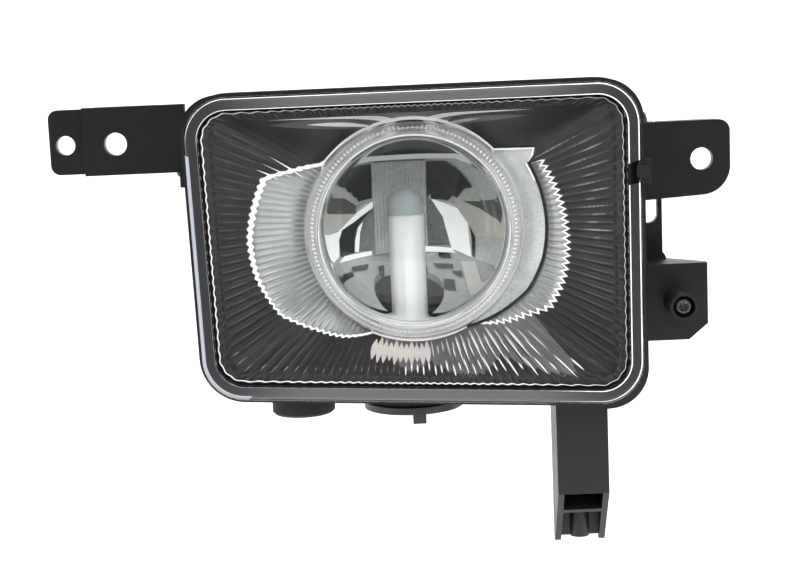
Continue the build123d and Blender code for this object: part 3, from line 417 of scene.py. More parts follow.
def shifted(
    tree: bpy.types.NodeTree, source: bpy.types.NodeSocket, gain: float, base: float
) -> bpy.types.NodeSocket:
    """Return source times gain plus base, kept between 0 and 1."""
    node = add(tree, "Math", operation="MULTIPLY_ADD", use_clamp=True)
    node.inputs[1].default_value = gain
    node.inputs[2].default_value = base
    tree.links.new(source, node.inputs[0])
    return node.outputs[0]


def bumped(
    tree: bpy.types.NodeTree, shader: bpy.types.Node, height: bpy.types.NodeSocket, distance: float
) -> None:
    """Feed a height into the shader's normal.

    Args:
        tree: the material's nodes.
        shader: its Principled BSDF.
        height: the height, about 0 to 1.
        distance: how deep that is, in millimetres.
    """
    bump = add(tree, "Bump", Strength=1.0, Distance=distance * MM)
    tree.links.new(height, bump.inputs["Height"])
    tree.links.new(bump.outputs[0], shader.inputs["Normal"])


# ---------------------------------------------------------------- finishes


@dataclass(frozen=True)
class Moulded:
    """Injection-moulded plastic or rubber."""

    name: str
    colour: Colour
    worn_and_lit: Colour
    surface: Surface = Surface.SATIN
    grain: float = 0.35
    bump: float = 0.02
    dust: float = 0.12
    coat: float = 0.0

    def build(self) -> bpy.types.Material:
        """Make the material: grain, edges lighter from wear and as a painted highlight, and a little dust."""
        material, tree, shader = blank(self.name)
        grain = use_group(tree, "grain", Size=self.grain, Depth=1.0, Patches=0.25)
        # sharp edges lighter: wear and a painted edge highlight
        edges = use_group(tree, "edges", Amount=0.8)
        dust = use_group(tree, "dust", Amount=self.dust)
        base = mixed(tree, edges.outputs["Mask"], self.colour, self.worn_and_lit)
        dusty = add(tree, "Mix", data_type="RGBA")
        dusty.inputs[7].default_value = (0.42, 0.40, 0.37, 1)
        tree.links.new(dust.outputs["Mask"], dusty.inputs[0])
        tree.links.new(base, dusty.inputs[6])
        tree.links.new(dusty.outputs[2], shader.inputs["Base Color"])
        rough = shifted(tree, grain.outputs["Gloss"], 1.0, self.surface.value)
        tree.links.new(rough, shader.inputs["Roughness"])
        shader.inputs["Coat Weight"].default_value = self.coat
        bumped(tree, shader, grain.outputs["Height"], self.bump)
        return material


@dataclass(frozen=True)
class Plated:
    """Plastic with a vacuum-plated metal film, bright, or tinted dark as a painted dark reflection; the class
    also makes the painted highlights, reflections and shade, some with a painted glow.
    """

    name: str
    colour: Colour
    shade: Colour
    roughness: float = 0.08
    haze: float = 0.12
    ripple: float = 0.05
    metallic: float = 1.0
    painted_glow: float = 0.0

    def build(self) -> bpy.types.Material:
        """Make the material: a rippled, slightly hazy mirror, with a painted glow where one is set."""
        material, tree, shader = blank(self.name)
        film = use_group(tree, "plating", Ripple=1.0, Haze=self.haze)
        base = mixed(tree, film.outputs["Shade"], self.colour, self.shade)
        tree.links.new(base, shader.inputs["Base Color"])
        shader.inputs["Metallic"].default_value = self.metallic
        tree.links.new(base, shader.inputs["Emission Color"])
        # painted glow: emission that stands for reflected light
        shader.inputs["Emission Strength"].default_value = self.painted_glow
        rough = shifted(tree, film.outputs["Haze"], 1.0, self.roughness)
        tree.links.new(rough, shader.inputs["Roughness"])
        bumped(tree, shader, film.outputs["Height"], self.ripple)
        return material


@dataclass(frozen=True)
class PaintedFalloff:
    """Painted light on a clear moulding seen from the front: lit grey in the middle of its length, painted
    shade at its ends.
    """

    name: str
    middle: Colour
    ends: Colour
    fade: tuple[float, float]
    roughness: float = 0.3

    def build(self) -> bpy.types.Material:
        """Make the material: two painted greys that blend across the lamp, lighter in the middle."""
        material, tree, shader = blank(self.name)
        spot = add(tree, "TexCoord")
        split = add(tree, "SeparateXYZ")
        tree.links.new(spot.outputs["Object"], split.inputs[0])
        across = add(tree, "Math", operation="SUBTRACT")
        tree.links.new(split.outputs["X"], across.inputs[0])
        across.inputs[1].default_value = CENTRE.x
        away = add(tree, "Math", operation="ABSOLUTE")
        tree.links.new(across.outputs[0], away.inputs[0])
        blend = add(tree, "MapRange", interpolation_type="SMOOTHSTEP")
        tree.links.new(away.outputs[0], blend.inputs["Value"])
        blend.inputs["From Min"].default_value, blend.inputs["From Max"].default_value = self.fade
        grey = mixed(tree, blend.outputs["Result"], self.middle, self.ends)
        tree.links.new(grey, shader.inputs["Base Color"])
        film = use_group(tree, "plating", Ripple=1.0, Haze=0.04)
        rough = shifted(tree, film.outputs["Haze"], 1.0, self.roughness)
        tree.links.new(rough, shader.inputs["Roughness"])
        bumped(tree, shader, film.outputs["Height"], 0.001)
        return material


@dataclass(frozen=True)
class Wrought:
    """Solid metal: steel, brass or tungsten, turned, drawn or rolled."""

    name: str
    colour: Colour
    stained: Colour
    roughness: float = 0.28
    lines: float = 0.01

    def build(self) -> bpy.types.Material:
        """Make the material: fine working lines and faint stains."""
        material, tree, shader = blank(self.name)
        work = use_group(tree, "lines", Lines=1.0)
        base = mixed(tree, work.outputs["Stain"], self.colour, self.stained)
        tree.links.new(base, shader.inputs["Base Color"])
        shader.inputs["Metallic"].default_value = 1.0
        rough = shifted(tree, work.outputs["Stain"], 0.3, self.roughness - 0.12)
        tree.links.new(rough, shader.inputs["Roughness"])
        bumped(tree, shader, work.outputs["Height"], self.lines)
        return material


@dataclass(frozen=True)
class Clear:
    """Clear polycarbonate or glass, which lets the light in to what it covers."""

    name: str
    tint: Colour
    ior: float = 1.5
    roughness: float = 0.0
    ripple: float = 0.004
    transmission: float = 1.0

    def build(self) -> bpy.types.Material:
        """Make the material: clear, faintly rippled, and open to the light."""
        material, tree, shader = blank(self.name)
        shader.inputs["Base Color"].default_value = (*self.tint, 1)
        shader.inputs["IOR"].default_value = self.ior
        shader.inputs["Transmission Weight"].default_value = self.transmission
        film = use_group(tree, "plating", Ripple=1.0, Haze=0.02)
        rough = shifted(tree, film.outputs["Haze"], 1.0, self.roughness)
        tree.links.new(rough, shader.inputs["Roughness"])
        bumped(tree, shader, film.outputs["Height"], self.ripple)
        path = add(tree, "LightPath")
        open_ = add(tree, "BsdfTransparent")
        open_.inputs["Color"].default_value = (*self.tint, 1)
        pick = add(tree, "MixShader")
        tree.links.new(path.outputs["Is Shadow Ray"], pick.inputs[0])
        tree.links.new(shader.outputs[0], pick.inputs[1])
        tree.links.new(open_.outputs[0], pick.inputs[2])
        out = tree.nodes["Material Output"]
        tree.links.new(pick.outputs[0], out.inputs["Surface"])
        return material


FINISHES = {
    "black_plastic": Moulded("black_plastic", (0.007, 0.007, 0.0075), (0.03, 0.03, 0.032)),
    "housing_plastic": Moulded(
        "housing_plastic", (0.006, 0.006, 0.0065), (0.02, 0.02, 0.022), Surface.SPARK_ERODED, bump=0.03
    ),
    "bush_plastic": Moulded("bush_plastic", (0.62, 0.60, 0.54), (0.75, 0.74, 0.70)),
    "nut_nylon": Moulded("nut_nylon", (0.66, 0.64, 0.58), (0.78, 0.77, 0.72)),
    "seal_rubber": Moulded("seal_rubber", (0.012, 0.012, 0.012), (0.03, 0.03, 0.03), Surface.RUBBERY),
    "vent_rubber": Moulded("vent_rubber", (0.010, 0.010, 0.010), (0.03, 0.03, 0.03), Surface.RUBBERY),
    "vent_fabric": Moulded("vent_fabric", (0.70, 0.70, 0.68), (0.8, 0.8, 0.78), Surface.RUBBERY, grain=0.12),
    "base_plastic": Moulded("base_plastic", (0.035, 0.035, 0.037), (0.09, 0.09, 0.09)),
    "clear_lens": Clear("clear_lens", (0.985, 0.985, 0.985)),
    "clear_glass": Clear("clear_glass", (0.97, 0.985, 0.98), ior=1.46),
    "bulb_glass": Clear("bulb_glass", (0.965, 0.967, 0.955), ior=1.3, roughness=0.35, transmission=0.55),
    # painted dark reflection: the plated funnel and border are tinted dark so they read as reflecting dark
    # surroundings
    "dark_reflector": Plated(
        "dark_reflector", (0.034, 0.034, 0.036), (0.028, 0.028, 0.03), 0.3, 0.02, 0.001, 0.45
    ),
    # painted sheen and painted crest highlights on the dark flutes
    "painted_sheen": Plated("painted_sheen", (0.15, 0.155, 0.148), (0.105, 0.11, 0.104), 0.3, 0.02, 0.001, 0.35),
    "painted_crest_highlight": Plated("painted_crest_highlight", (0.075, 0.075, 0.078), (0.06, 0.06, 0.062), 0.3, 0.02, 0.001, 0.4),
    "bright_ring": Plated("bright_ring", (0.90, 0.91, 0.92), (0.80, 0.81, 0.82), 0.10, 0.05, 0.004, 0.7),
    "bright_reflector": Plated(
        "bright_reflector", (0.62, 0.65, 0.65), (0.48, 0.5, 0.5), 0.2, 0.08, 0.004, 0.5
    ),
    # painted bright reflection: the plated collar is lighter than the funnel
    "collar_plating_painted_reflection": Plated(
        "collar_plating_painted_reflection", (0.44, 0.455, 0.455), (0.34, 0.355, 0.355), 0.2, 0.04, 0.001, 0.6
    ),
    # painted light: the finishes from here to the first steel one are painted highlights, reflections and
    # shade on facets and flutes, some with a painted glow
    "painted_highlight": Plated("painted_highlight", (0.95, 0.95, 0.95), (0.88, 0.89, 0.89), 0.3, 0.1, 0.002, 0.2, painted_glow=0.12),
    "painted_reflection_white": Plated(
        "painted_reflection_white", (0.95, 0.95, 0.95), (0.82, 0.83, 0.83), 0.3, 0.1, 0.002, 0.2, painted_glow=0.4
    ),
    "painted_reflection_beige": Plated(
        "painted_reflection_beige", (0.66, 0.63, 0.59), (0.50, 0.48, 0.45), 0.3, 0.1, 0.003, 0.3, painted_glow=0.1
    ),
    "painted_reflection_light": Plated(
        "painted_reflection_light", (0.58, 0.595, 0.595), (0.40, 0.415, 0.415), 0.26, 0.08, 0.002, 0.3, painted_glow=0.1
    ),
    "painted_reflection_mid": Plated("painted_reflection_mid", (0.30, 0.315, 0.32), (0.15, 0.16, 0.165), 0.26, 0.08, 0.005, 0.4),
    "painted_reflection_dim": Plated("painted_reflection_dim", (0.13, 0.135, 0.137), (0.10, 0.104, 0.106), 0.3, 0.03, 0.001, 0.3),
    "painted_reflection_olive": Plated("painted_reflection_olive", (0.17, 0.168, 0.137), (0.10, 0.10, 0.08), 0.3, 0.1, 0.01, 0.4),
    "painted_reflection_brown": Plated("painted_reflection_brown", (0.10, 0.082, 0.086), (0.045, 0.04, 0.042), 0.3, 0.1, 0.01, 0.4),
    "painted_shade": Plated("painted_shade", (0.035, 0.035, 0.038), (0.022, 0.022, 0.024), 0.3, 0.1, 0.005, 0.4),
    "screw_steel": Wrought("screw_steel", (0.55, 0.55, 0.57), (0.42, 0.42, 0.43)),
    "collar_steel": Wrought("collar_steel", (0.68, 0.68, 0.70), (0.55, 0.55, 0.56), 0.2),
    "adjuster_steel": Wrought("adjuster_steel", (0.70, 0.71, 0.72), (0.50, 0.51, 0.52), 0.24),
    "terminal_brass": Wrought("terminal_brass", (0.75, 0.62, 0.38), (0.62, 0.48, 0.28)),
    "tungsten": Wrought("tungsten", (0.34, 0.33, 0.32), (0.24, 0.23, 0.22), 0.4),
    "tip_coating": Moulded("tip_coating", (0.36, 0.38, 0.39), (0.5, 0.51, 0.52), Surface.SATIN, grain=0.15),
    # painted light on the lens border: lit grey in the middle, painted shade at the ends
    "lens_border_painted_light": PaintedFalloff("lens_border_painted_light", (0.095, 0.095, 0.098), (0.028, 0.028, 0.030), (0.030, 0.064)),
    # painted reflection along the lens's left edge
    "painted_pale_reflection": Plated("painted_pale_reflection", (0.42, 0.45, 0.49), (0.30, 0.33, 0.37), 0.3, 0.05, 0.001, 0.2),
}
MATERIALS: dict[str, bpy.types.Material] = {key: finish.build() for key, finish in FINISHES.items()}


# ---------------------------------------------------------------- mesh tools


def mesh_object(
    name: str, points: Sequence[Point], faces: Sequence[Sequence[int]], finish: str, slot: str = ""
) -> bpy.types.Object:
    """Make an object that rides on the lamp, from points in millimetres.

    Args:
        name: the object's name.
        points: (across, depth, up) from the lamp's centre.
        faces: point numbers of each face.
        finish: the name of its finish.
        slot: the record's material slot, where it isn't the finish's own name; not used.

    Returns:
        The new object.
    """
    mesh = bpy.data.meshes.new(name)
    mesh.from_pydata([place(*p) for p in points], [], [list(f) for f in faces])
    mesh.update()
    mesh.shade_smooth()
    piece = bpy.data.objects.new(name, mesh)
    bpy.context.scene.collection.objects.link(piece)
    mesh.materials.append(MATERIALS[finish])
    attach(piece, "lamp")
    slot or finish
    return piece


def polar_point(turn: float, radius: float, depth: float) -> Point:
    """Return the point at a direction and distance from the axis, and a depth."""
    return (radius * math.cos(turn), depth, radius * math.sin(turn))


def polar_sheet(
    name: str,
    turns: Sequence[float],
    rows: Sequence[Row],
    finish: str,
    closed: bool,
    slot: str = "",
) -> bpy.types.Object:
    """Make a sheet round the axis from rows of (radius, depth).

    Args:
        name: the object's name.
        turns: the directions of its columns, in radians.
        rows: for each row, the radius and depth at a direction, from the outside in.
        finish: its finish.
        closed: whether the last column joins the first.
        slot: its material slot, where it isn't the finish's own name.

    Returns:
        The new object.
    """
    points = [polar_point(turn, *row(turn)) for row in rows for turn in turns]
    count = len(turns)
    steps = count if closed else count - 1
    faces = []
    for i in range(len(rows) - 1):
        for j in range(steps):
            k = (j + 1) % count
            faces.append([i * count + j, i * count + k, (i + 1) * count + k, (i + 1) * count + j])
    return mesh_object(name, points, faces, finish, slot)


def filled(outline: Sequence[tuple[float, float]], step: float) -> tuple[list[Vector], list[list[int]]]:
    """Fill a flat outline with a fine even mesh.

    Args:
        outline: its corners.
        step: the longest distance between points.

    Returns:
        The points and the faces.
    """
    edge: list[Vector] = []
    for (x0, z0), (x1, z1) in zip(outline, [*outline[1:], outline[0]]):
        count = max(1, math.ceil(math.hypot(x1 - x0, z1 - z0) / step))
        edge += [Vector((x0 + (x1 - x0) * i / count, z0 + (z1 - z0) * i / count)) for i in range(count)]
    inside = []
    xs, zs = [p[0] for p in outline], [p[1] for p in outline]
    for i in range(int((max(xs) - min(xs)) / step) + 1):
        for j in range(int((max(zs) - min(zs)) / step) + 1):
            inside.append(Vector((min(xs) + (i + 0.5) * step, min(zs) + (j + 0.5) * step)))
    loop = list(range(len(edge)))
    found = delaunay_2d_cdt(edge + inside, [], [loop], 1, 1e-4)
    return found[0], [list(f) for f in found[2]]


def dress(node: str, finish: str) -> None:
    """Give a CAD node its finish."""
    thing = frame["nodes"][node]
    thing.data.materials.clear()
    thing.data.materials.append(MATERIALS[finish])


# ---------------------------------------------------------------- bezel


@dataclass(frozen=True)
class PaintedStreaks:
    """A family of slim slivers along the flutes, painted shade in the valleys and painted highlights and
    reflections elsewhere, between two directions in degrees.

    span is where they begin and end, as shares of the way inwards; seat is 0 in a flute's valley
    and 0.5 on its crest; loose is how much their ends differ. The width is millimetres.
    """

    name: str
    finish: str
    start: float
    stop: float
    span: tuple[float, float]
    width: float
    seat: float = 0.5
    loose: float = 0.35


@dataclass(frozen=True)
class Glint:
    """A slim painted highlight on the shelf over the ring, in millimetres.

    middle is to the right of the axis, half is half its length, level is how high it looks over the
    axis from a little above, tall is its height from there, and lift is how far it stands proud.
    """

    name: str
    finish: str
    middle: float
    half: float
    level: float
    tall: float
    lift: float = 0.1


@dataclass
class Bezel:
    """The fluted funnel round the inner lens, with a bright toothed collar inside it, and the painted
    reflections, highlights and shade laid over them.
    """

    flutes: int = 144
    samples: int = 8
    edge_inset: float = 4.6
    edge_depth: float = 4.9
    bead_inset: float = 6.9
    bead_depth: float = 6.3
    beads: int = 252
    bead_height: float = 0.35
    ring_radius: float = 34.6
    ring_depth: float = 24.6
    flute_height: float = 0.55
    tooth: float = 1.5
    downward: float = 0.143
    crescent_out: float = 40.9
    crescent_lift: float = 0.1
    crescent_highlight_width: float = 0.95
    highlight_lift: float = 0.25
    groove_out: float = 0.9
    groove_width: float = 0.95
    groove_lift: float = 0.15
    tooth_lift: float = 0.35
    sliver_lift: float = 0.16
    crescent_arc: tuple[float, float] = (-64.0, 44.5)
    groove_arc: tuple[float, float] = (-64.0, 29.0)
    highlight_arc: tuple[float, float] = (20.0, 44.5)
    sheen_arc: tuple[float, float] = (-112.0, -37.1)
    crescent_top: float = 24.4
    horn: Curve = (
        (-64.0, 34.6), (-50.0, 36.8), (-40.0, 38.4), (-30.0, 40.2), (-15.0, 40.9), (28.5, 41.2), (30.0, 43.6),
        (32.6, 45.4), (36.0, 45.4),
    )
    families: tuple[PaintedStreaks, ...] = (
        # painted shade in the valleys; painted highlights and reflections along the rest
        PaintedStreaks("valley_shade", "painted_shade", -212.0, 32.0, (0.03, 0.99), 0.5, seat=0.0, loose=0.12),
        PaintedStreaks("crest_highlights_left", "painted_crest_highlight", 148.0, 246.0, (0.04, 0.9), 0.34, loose=0.3),
        PaintedStreaks("crest_highlights_right", "painted_crest_highlight", -42.0, 32.0, (0.04, 0.9), 0.34, loose=0.3),
        PaintedStreaks("streaks_low_right", "painted_highlight", -96.0, -38.0, (0.02, 0.42), 0.5),
        PaintedStreaks("streaks_low", "painted_reflection_light", -108.0, -40.0, (0.5, 1.0), 0.46),
        PaintedStreaks("streaks_long", "painted_highlight", -74.0, -44.0, (0.2, 0.95), 0.3, seat=0.3),
        PaintedStreaks("streaks_middle", "painted_reflection_beige", -112.0, -84.0, (0.3, 1.0), 2.0, loose=0.15),
        PaintedStreaks("streaks_right", "painted_reflection_mid", -4.0, 32.0, (0.12, 0.8), 0.5),
        PaintedStreaks("streaks_low_left", "painted_reflection_mid", -150.0, -96.0, (0.03, 0.3), 0.3),
    )
    glints: tuple[Glint, ...] = (
        # painted highlights on the smooth shelf over the ring
        Glint("shelf_highlight_line", "painted_highlight", -3.0, 40.0, 37.7, 0.55, lift=0.2),
        Glint("shelf_halo_left", "painted_reflection_dim", -26.0, 17.0, 36.3, 2.2),
        Glint("shelf_glint_left", "painted_highlight", -21.5, 10.0, 36.3, 0.9, lift=0.2),
        Glint("shelf_glint_right", "painted_reflection_dim", 21.0, 15.0, 36.2, 1.4),
        Glint("shelf_core_right", "painted_reflection_light", 15.0, 7.0, 36.3, 0.6, lift=0.2),
    )
    outline: RimOutline = field(default_factory=RimOutline)
    collar_edge: Curve = (
        (-60.0, 35.6), (-40.0, 44.5), (-32.0, 49.2), (-20.0, 49.1), (0.0, 47.4),
        (17.0, 46.0), (27.0, 45.3), (28.5, 35.6), (140.0, 35.6), (142.6, 36.4), (149.0, 41.3), (152.5, 44.4),
        (155.5, 47.6), (158.0, 50.2),
        (180.0, 51.7), (193.0, 51.4), (210.0, 49.6), (223.0, 44.0), (234.0, 40.4), (246.0, 35.6),
    )
    long_teeth: tuple[Curve, ...] = (
        ((-43.9, 25.4), (-37.4, 21.0), (-33.4, 17.4)),
        ((-46.4, 23.4), (-40.6, 20.2), (-37.8, 18.2)),
        ((-48.0, 21.6), (-43.6, 19.6), (-41.6, 17.8)),
    )
    lip_width: Curve = (
        (0.0, 0.5), (30.0, 0.5), (140.0, 0.9), (150.0, 1.5),
        (172.0, 1.2), (190.0, 0.9), (204.0, 0.2), (360.0, 0.5),
    )

    def turns(self) -> list[float]:
        """Return the directions of the mesh columns."""
        count = self.flutes * self.samples
        return [2 * math.pi * i / count for i in range(count)]

    def fluted(self, turn: float) -> float:
        """Return how strongly a direction is fluted: 0 on the smooth top, 1 elsewhere."""
        lean = abs(math.degrees(turn) % 360 - 88)
        return smooth_step(50, 68, lean)

    def scallop(self, turn: float) -> float:
        """Return a flute's section, from 0 in its valley to 1 on its crest."""
        return abs(math.sin(self.flutes * turn / 2))

    def collar_radius(self, turn: float) -> float:
        """Return the radius of the bright collar's outer edge, without its teeth."""
        angle = math.degrees(turn) % 360
        return read_curve(self.collar_edge, angle - 360 if angle > 300 else angle)

    def toothed(self, turn: float) -> float:
        """Return the collar's outer radius with its teeth."""
        radius = self.collar_radius(turn)
        wave = self.flutes * turn / (2 * math.pi) % 1.0
        tooth = 1 - abs(2 * wave - 1)
        reach = smooth_step(self.ring_radius + 1.0, self.ring_radius + 8, radius)
        size = self.tooth * (0.5 + 0.7 * smooth_step(-0.2, 0.6, math.cos(turn)))
        return radius + size * reach * (tooth - 0.5)

    def clear_of_flutes(self, turn: float, radius: float, lift: float) -> float:
        """Return a depth in front of the flutes by lift."""
        return self.funnel_depth(turn, radius) - self.flute_height - lift

    def funnel_depth(self, turn: float, radius: float) -> float:
        """Return the depth of the plain funnel at a direction and radius."""
        outer = self.outline.radius(turn, self.bead_inset)
        share = min(1.0, max(0.0, (outer - radius) / (outer - self.ring_radius)))
        bowed = share + 0.16 * share * (1 - share)
        return self.bead_depth + bowed * (self.ring_depth - self.bead_depth)

    def outer_row(self, share: float) -> Row:
        """Return a row of the dark funnel, share of the way from its border to the collar."""

        def row(turn: float) -> tuple[float, float]:
            outer = self.outline.radius(turn, self.bead_inset)
            inner = self.toothed(turn)
            radius = outer + (inner - outer) * share
            fade = smooth_step(0.0, 0.06, share)
            rise = self.flute_height * self.fluted(turn) * fade * (radius / 55)
            return radius, self.funnel_depth(turn, radius) - rise * self.scallop(turn)

        return row

    def bead_row(self, share: float) -> Row:
        """Return a row of the beaded border, share of the way inwards."""

        def row(turn: float) -> tuple[float, float]:
            inset = self.edge_inset + share * (self.bead_inset - self.edge_inset)
            depth = self.edge_depth + share * (self.bead_depth - self.edge_depth)
            crown = math.sin(math.pi * share) * self.bead_height
            bead = 0.5 + 0.5 * math.cos(self.beads * turn)
            wave = 0.22 * math.sin(self.beads * turn / 2) * (1 - share)
            return self.outline.radius(turn, inset + wave), depth - crown * bead

        return row

    def collar_row(self, share: float) -> Row:
        """Return a row of the collar, painted bright as a reflection, share of the way from its teeth to the
        ring.
        """

        def row(turn: float) -> tuple[float, float]:
            outer = self.toothed(turn) - 0.5
            inner = self.ring_radius
            outer = max(outer, inner + 0.05)
            radius = outer + (inner - outer) * share
            start = self.funnel_depth(turn, outer) + 1.6
            depth = start + (self.ring_depth + 0.6 - start) * share ** 0.8
            rise = 0.5 * (1 - 0.6 * share) * self.scallop(turn)
            return radius, depth - rise + 0.8 * self.smooth_side(turn) * smooth_step(0.4, 0.6, share)

        return row

    def lip_row(self, share: float) -> Row:
        """Return a row of the painted highlight on the lip between the funnel and the collar."""

        def row(turn: float) -> tuple[float, float]:
            outer = self.toothed(turn)
            width = 0.5 + read_curve(self.lip_width, math.degrees(turn) % 360)
            width = min(width, max(0.0, outer - self.ring_radius))
            start = self.funnel_depth(turn, outer) - 0.15
            return outer - width * share, start + 0.5 * share

        return row

    def smooth_side(self, turn: float) -> float:
        """Return 1 where the inner part of the collar is smooth, on the right, else 0."""
        angle = (math.degrees(turn) + 180) % 360 - 180
        return smooth_step(-46, -38, angle) * (1 - smooth_step(27, 29, angle))

    def crescent_row(self, share: float) -> Row:
        """Return a row of the smooth crescent on the right, a painted bright reflection, share of the way
        inwards.
        """

        def row(turn: float) -> tuple[float, float]:
            outer = self.crescent_edge(turn)
            radius = outer + (self.ring_radius - outer) * share
            depth = self.funnel_depth(turn, outer)
            sunk = depth + (self.ring_depth - depth) * share ** 0.8 - 0.5
            return radius, min(sunk, self.clear_of_flutes(turn, radius, self.crescent_lift))

        return row

    def crescent_edge(self, turn: float) -> float:
        """Return the radius of the crescent's outer edge, cut level at its top."""
        edge = read_curve(self.horn, math.degrees(turn))
        if turn > 0.3:
            edge = min(edge, self.crescent_top / math.sin(turn))
        return max(edge, self.ring_radius + 0.05)

    def crescent_highlight(self, share: float) -> Row:
        """Return a row of the painted highlight line along the crescent's edge."""

        def row(turn: float) -> tuple[float, float]:
            edge = self.crescent_edge(turn)
            return edge - self.crescent_highlight_width * share, self.clear_of_flutes(turn, edge, self.highlight_lift)

        return row

    def edge_highlight(self, share: float) -> Row:
        """Return a row of the wavy painted highlight line along the bezel's border."""

        def row(turn: float) -> tuple[float, float]:
            wave = 0.16 * math.sin(self.beads * turn / 2)
            wide = 0.14 + 0.22 * smooth_step(-0.2, 0.5, -math.sin(turn) - 0.9 * math.cos(turn))
            inset = self.edge_inset + 0.25 + wave + wide * share
            return self.outline.radius(turn, inset), self.edge_depth - 0.1

        return row

    def sheen_row(self, share: float) -> Row:
        """Return a row of the painted sheen on the flutes low on the right, share of the way inwards."""

        def row(turn: float) -> tuple[float, float]:
            wave = self.flutes * turn / (2 * math.pi) % 1.0
            angle = math.degrees(turn)
            fade = smooth_step(-112, -92, angle) * (1 - smooth_step(-44, -37, angle))
            reach = (0.55 + 0.38 * abs(math.sin(angle * 0.11))) * fade
            jag = 0.08 * (1 - abs(2 * wave - 1)) * fade
            inner_share = 0.995
            outer_share = inner_share - max(0.004, reach + jag)
            here = outer_share + (inner_share - outer_share) * share
            radius, depth = self.outer_row(here)(turn)
            return radius, depth - 0.1

        return row

    def paint_streaks(self, family: PaintedStreaks) -> None:
        """Make one family of painted slivers along the flutes."""
        points: list[Point] = []
        faces = []
        step = 360 / self.flutes
        count = int((family.stop - family.start) / step)
        for index in range(count):
            turn = math.radians((math.floor(family.start / step) + index + family.seat) * step)
            shift = 0.5 + 0.5 * math.sin(index * 2.4 + family.start)
            length = family.span[1] - family.span[0]
            begin = family.span[0] + family.loose * length * shift
            end = family.span[1] - family.loose * length * (0.5 + 0.5 * math.sin(index * 4.1 + 1.0))
            base = len(points)
            steps = 8
            for i in range(steps + 1):
                share = begin + (end - begin) * i / steps
                radius, depth = self.outer_row(share)(turn)
                half = family.width / 2 * math.sin(math.pi * (i + 0.3) / (steps + 0.6))
                swing = half / radius
                points.append(polar_point(turn - swing, radius, depth - self.sliver_lift))
                points.append(polar_point(turn + swing, radius, depth - self.sliver_lift))
            for i in range(steps):
                a = base + 2 * i
                faces.append([a, a + 1, a + 3, a + 2])
        mesh_object(family.name, points, faces, family.finish, "bright_reflector")

    def groove_row(self, share: float) -> Row:
        """Return a row of the painted shade in the groove outside the crescent, share of the way inwards."""

        def row(turn: float) -> tuple[float, float]:
            outer = min(self.crescent_out, read_curve(self.horn, math.degrees(turn))) + self.groove_out
            return outer - self.groove_width * share, self.clear_of_flutes(turn, outer, self.groove_lift)

        return row

    def shelf_light(self, glint: Glint) -> None:
        """Make one slim lens-shaped painted highlight on the smooth shelf over the ring."""
        points, faces = [], []
        steps = 48
        for i in range(steps + 1):
            share = 2 * i / steps - 1
            x = glint.middle + glint.half * share
            swell = glint.tall * (1 - share * share) / 2
            for side in (swell, -swell):
                depth = self.level_depth(x, glint.level + side)
                points.append((x, depth - glint.lift, self.shelf_height(x, depth) - glint.lift))
        for i in range(steps):
            faces.append([2 * i, 2 * i + 1, 2 * i + 3, 2 * i + 2])
        mesh_object(glint.name, points, faces, glint.finish, "bright_reflector")

    def level_depth(self, x: float, level: float) -> float:
        """Return the depth at which the shelf looks a given height over the axis."""
        near, far = self.bead_depth, self.ring_depth
        for _ in range(12):
            depth = (near + far) / 2
            if self.shelf_height(x, depth) + self.downward * depth > level:
                near = depth
            else:
                far = depth
        return near

    def spikes(self) -> None:
        """Make the three long teeth of painted highlight at the collar's upper left corner."""
        for number, corners in enumerate(self.long_teeth, 1):
            points = []
            for x, z in corners:
                turn, radius = math.atan2(z, x), math.hypot(x, z)
                points.append((x, self.clear_of_flutes(turn, radius, self.tooth_lift), z))
            mesh_object(f"long_tooth_highlight_{number}", points, [[0, 1, 2]], "painted_highlight", "bright_reflector")

    def shelf_height(self, x: float, depth: float) -> float:
        """Return the height of the funnel over the ring, at a place and depth."""
        low, high = 24.0, 46.0
        for _ in range(14):
            z = (low + high) / 2
            turn, radius = math.atan2(z, x), math.hypot(x, z)
            if self.funnel_depth(turn, radius) > depth:
                low = z
            else:
                high = z
        return low

    def build(self) -> None:
        """Make the border, the dark funnel, the lip and the bright collar, with the painted highlights,
        reflections and shade laid over them.
        """
        turns = self.turns()
        beads = [2 * math.pi * i / (self.beads * 8) for i in range(self.beads * 8)]
        border = polar_sheet(
            "bezel_border", beads, [self.bead_row(i / 6) for i in range(7)], "dark_reflector", True
        )
        flutes = [self.outer_row((i / 26) ** 1.1) for i in range(27)]
        funnel = polar_sheet("bezel_flutes", turns, flutes, "dark_reflector", True)
        # painted highlight along the lip between the funnel and the collar
        lip = polar_sheet(
            "bezel_lip_highlight", turns, [self.lip_row(i / 2) for i in range(3)], "painted_highlight", True, "bright_reflector"
        )
        collar = polar_sheet(
            "bezel_collar", turns, [self.collar_row(i / 12) for i in range(13)], "collar_plating_painted_reflection", True,
            "bright_reflector",
        )
        right = arc(*self.groove_arc, 0.5)
        crest = arc(*self.crescent_arc, 0.5)
        # painted reflection: the smooth bright crescent on the right
        crescent = polar_sheet(
            "bezel_crescent", crest, [self.crescent_row(i / 12) for i in range(13)], "painted_reflection_light", False,
            "bright_reflector",
        )
        # painted shade: a dark strip in the groove outside the crescent
        rows = [self.groove_row(i / 2) for i in range(3)]
        groove = polar_sheet("bezel_groove_shade", right, rows, "painted_shade", False, "dark_reflector")
        top = arc(*self.highlight_arc, 0.5)
        # painted highlight lines along the crescent's edge and the bezel's border
        for name, where, row, closed in (
            ("crescent_highlight", top, self.crescent_highlight, False), ("bezel_edge_highlight", beads, self.edge_highlight, True)
        ):
            polar_sheet(name, where, [row(i) for i in (0, 1)], "painted_highlight", closed, "bright_reflector")
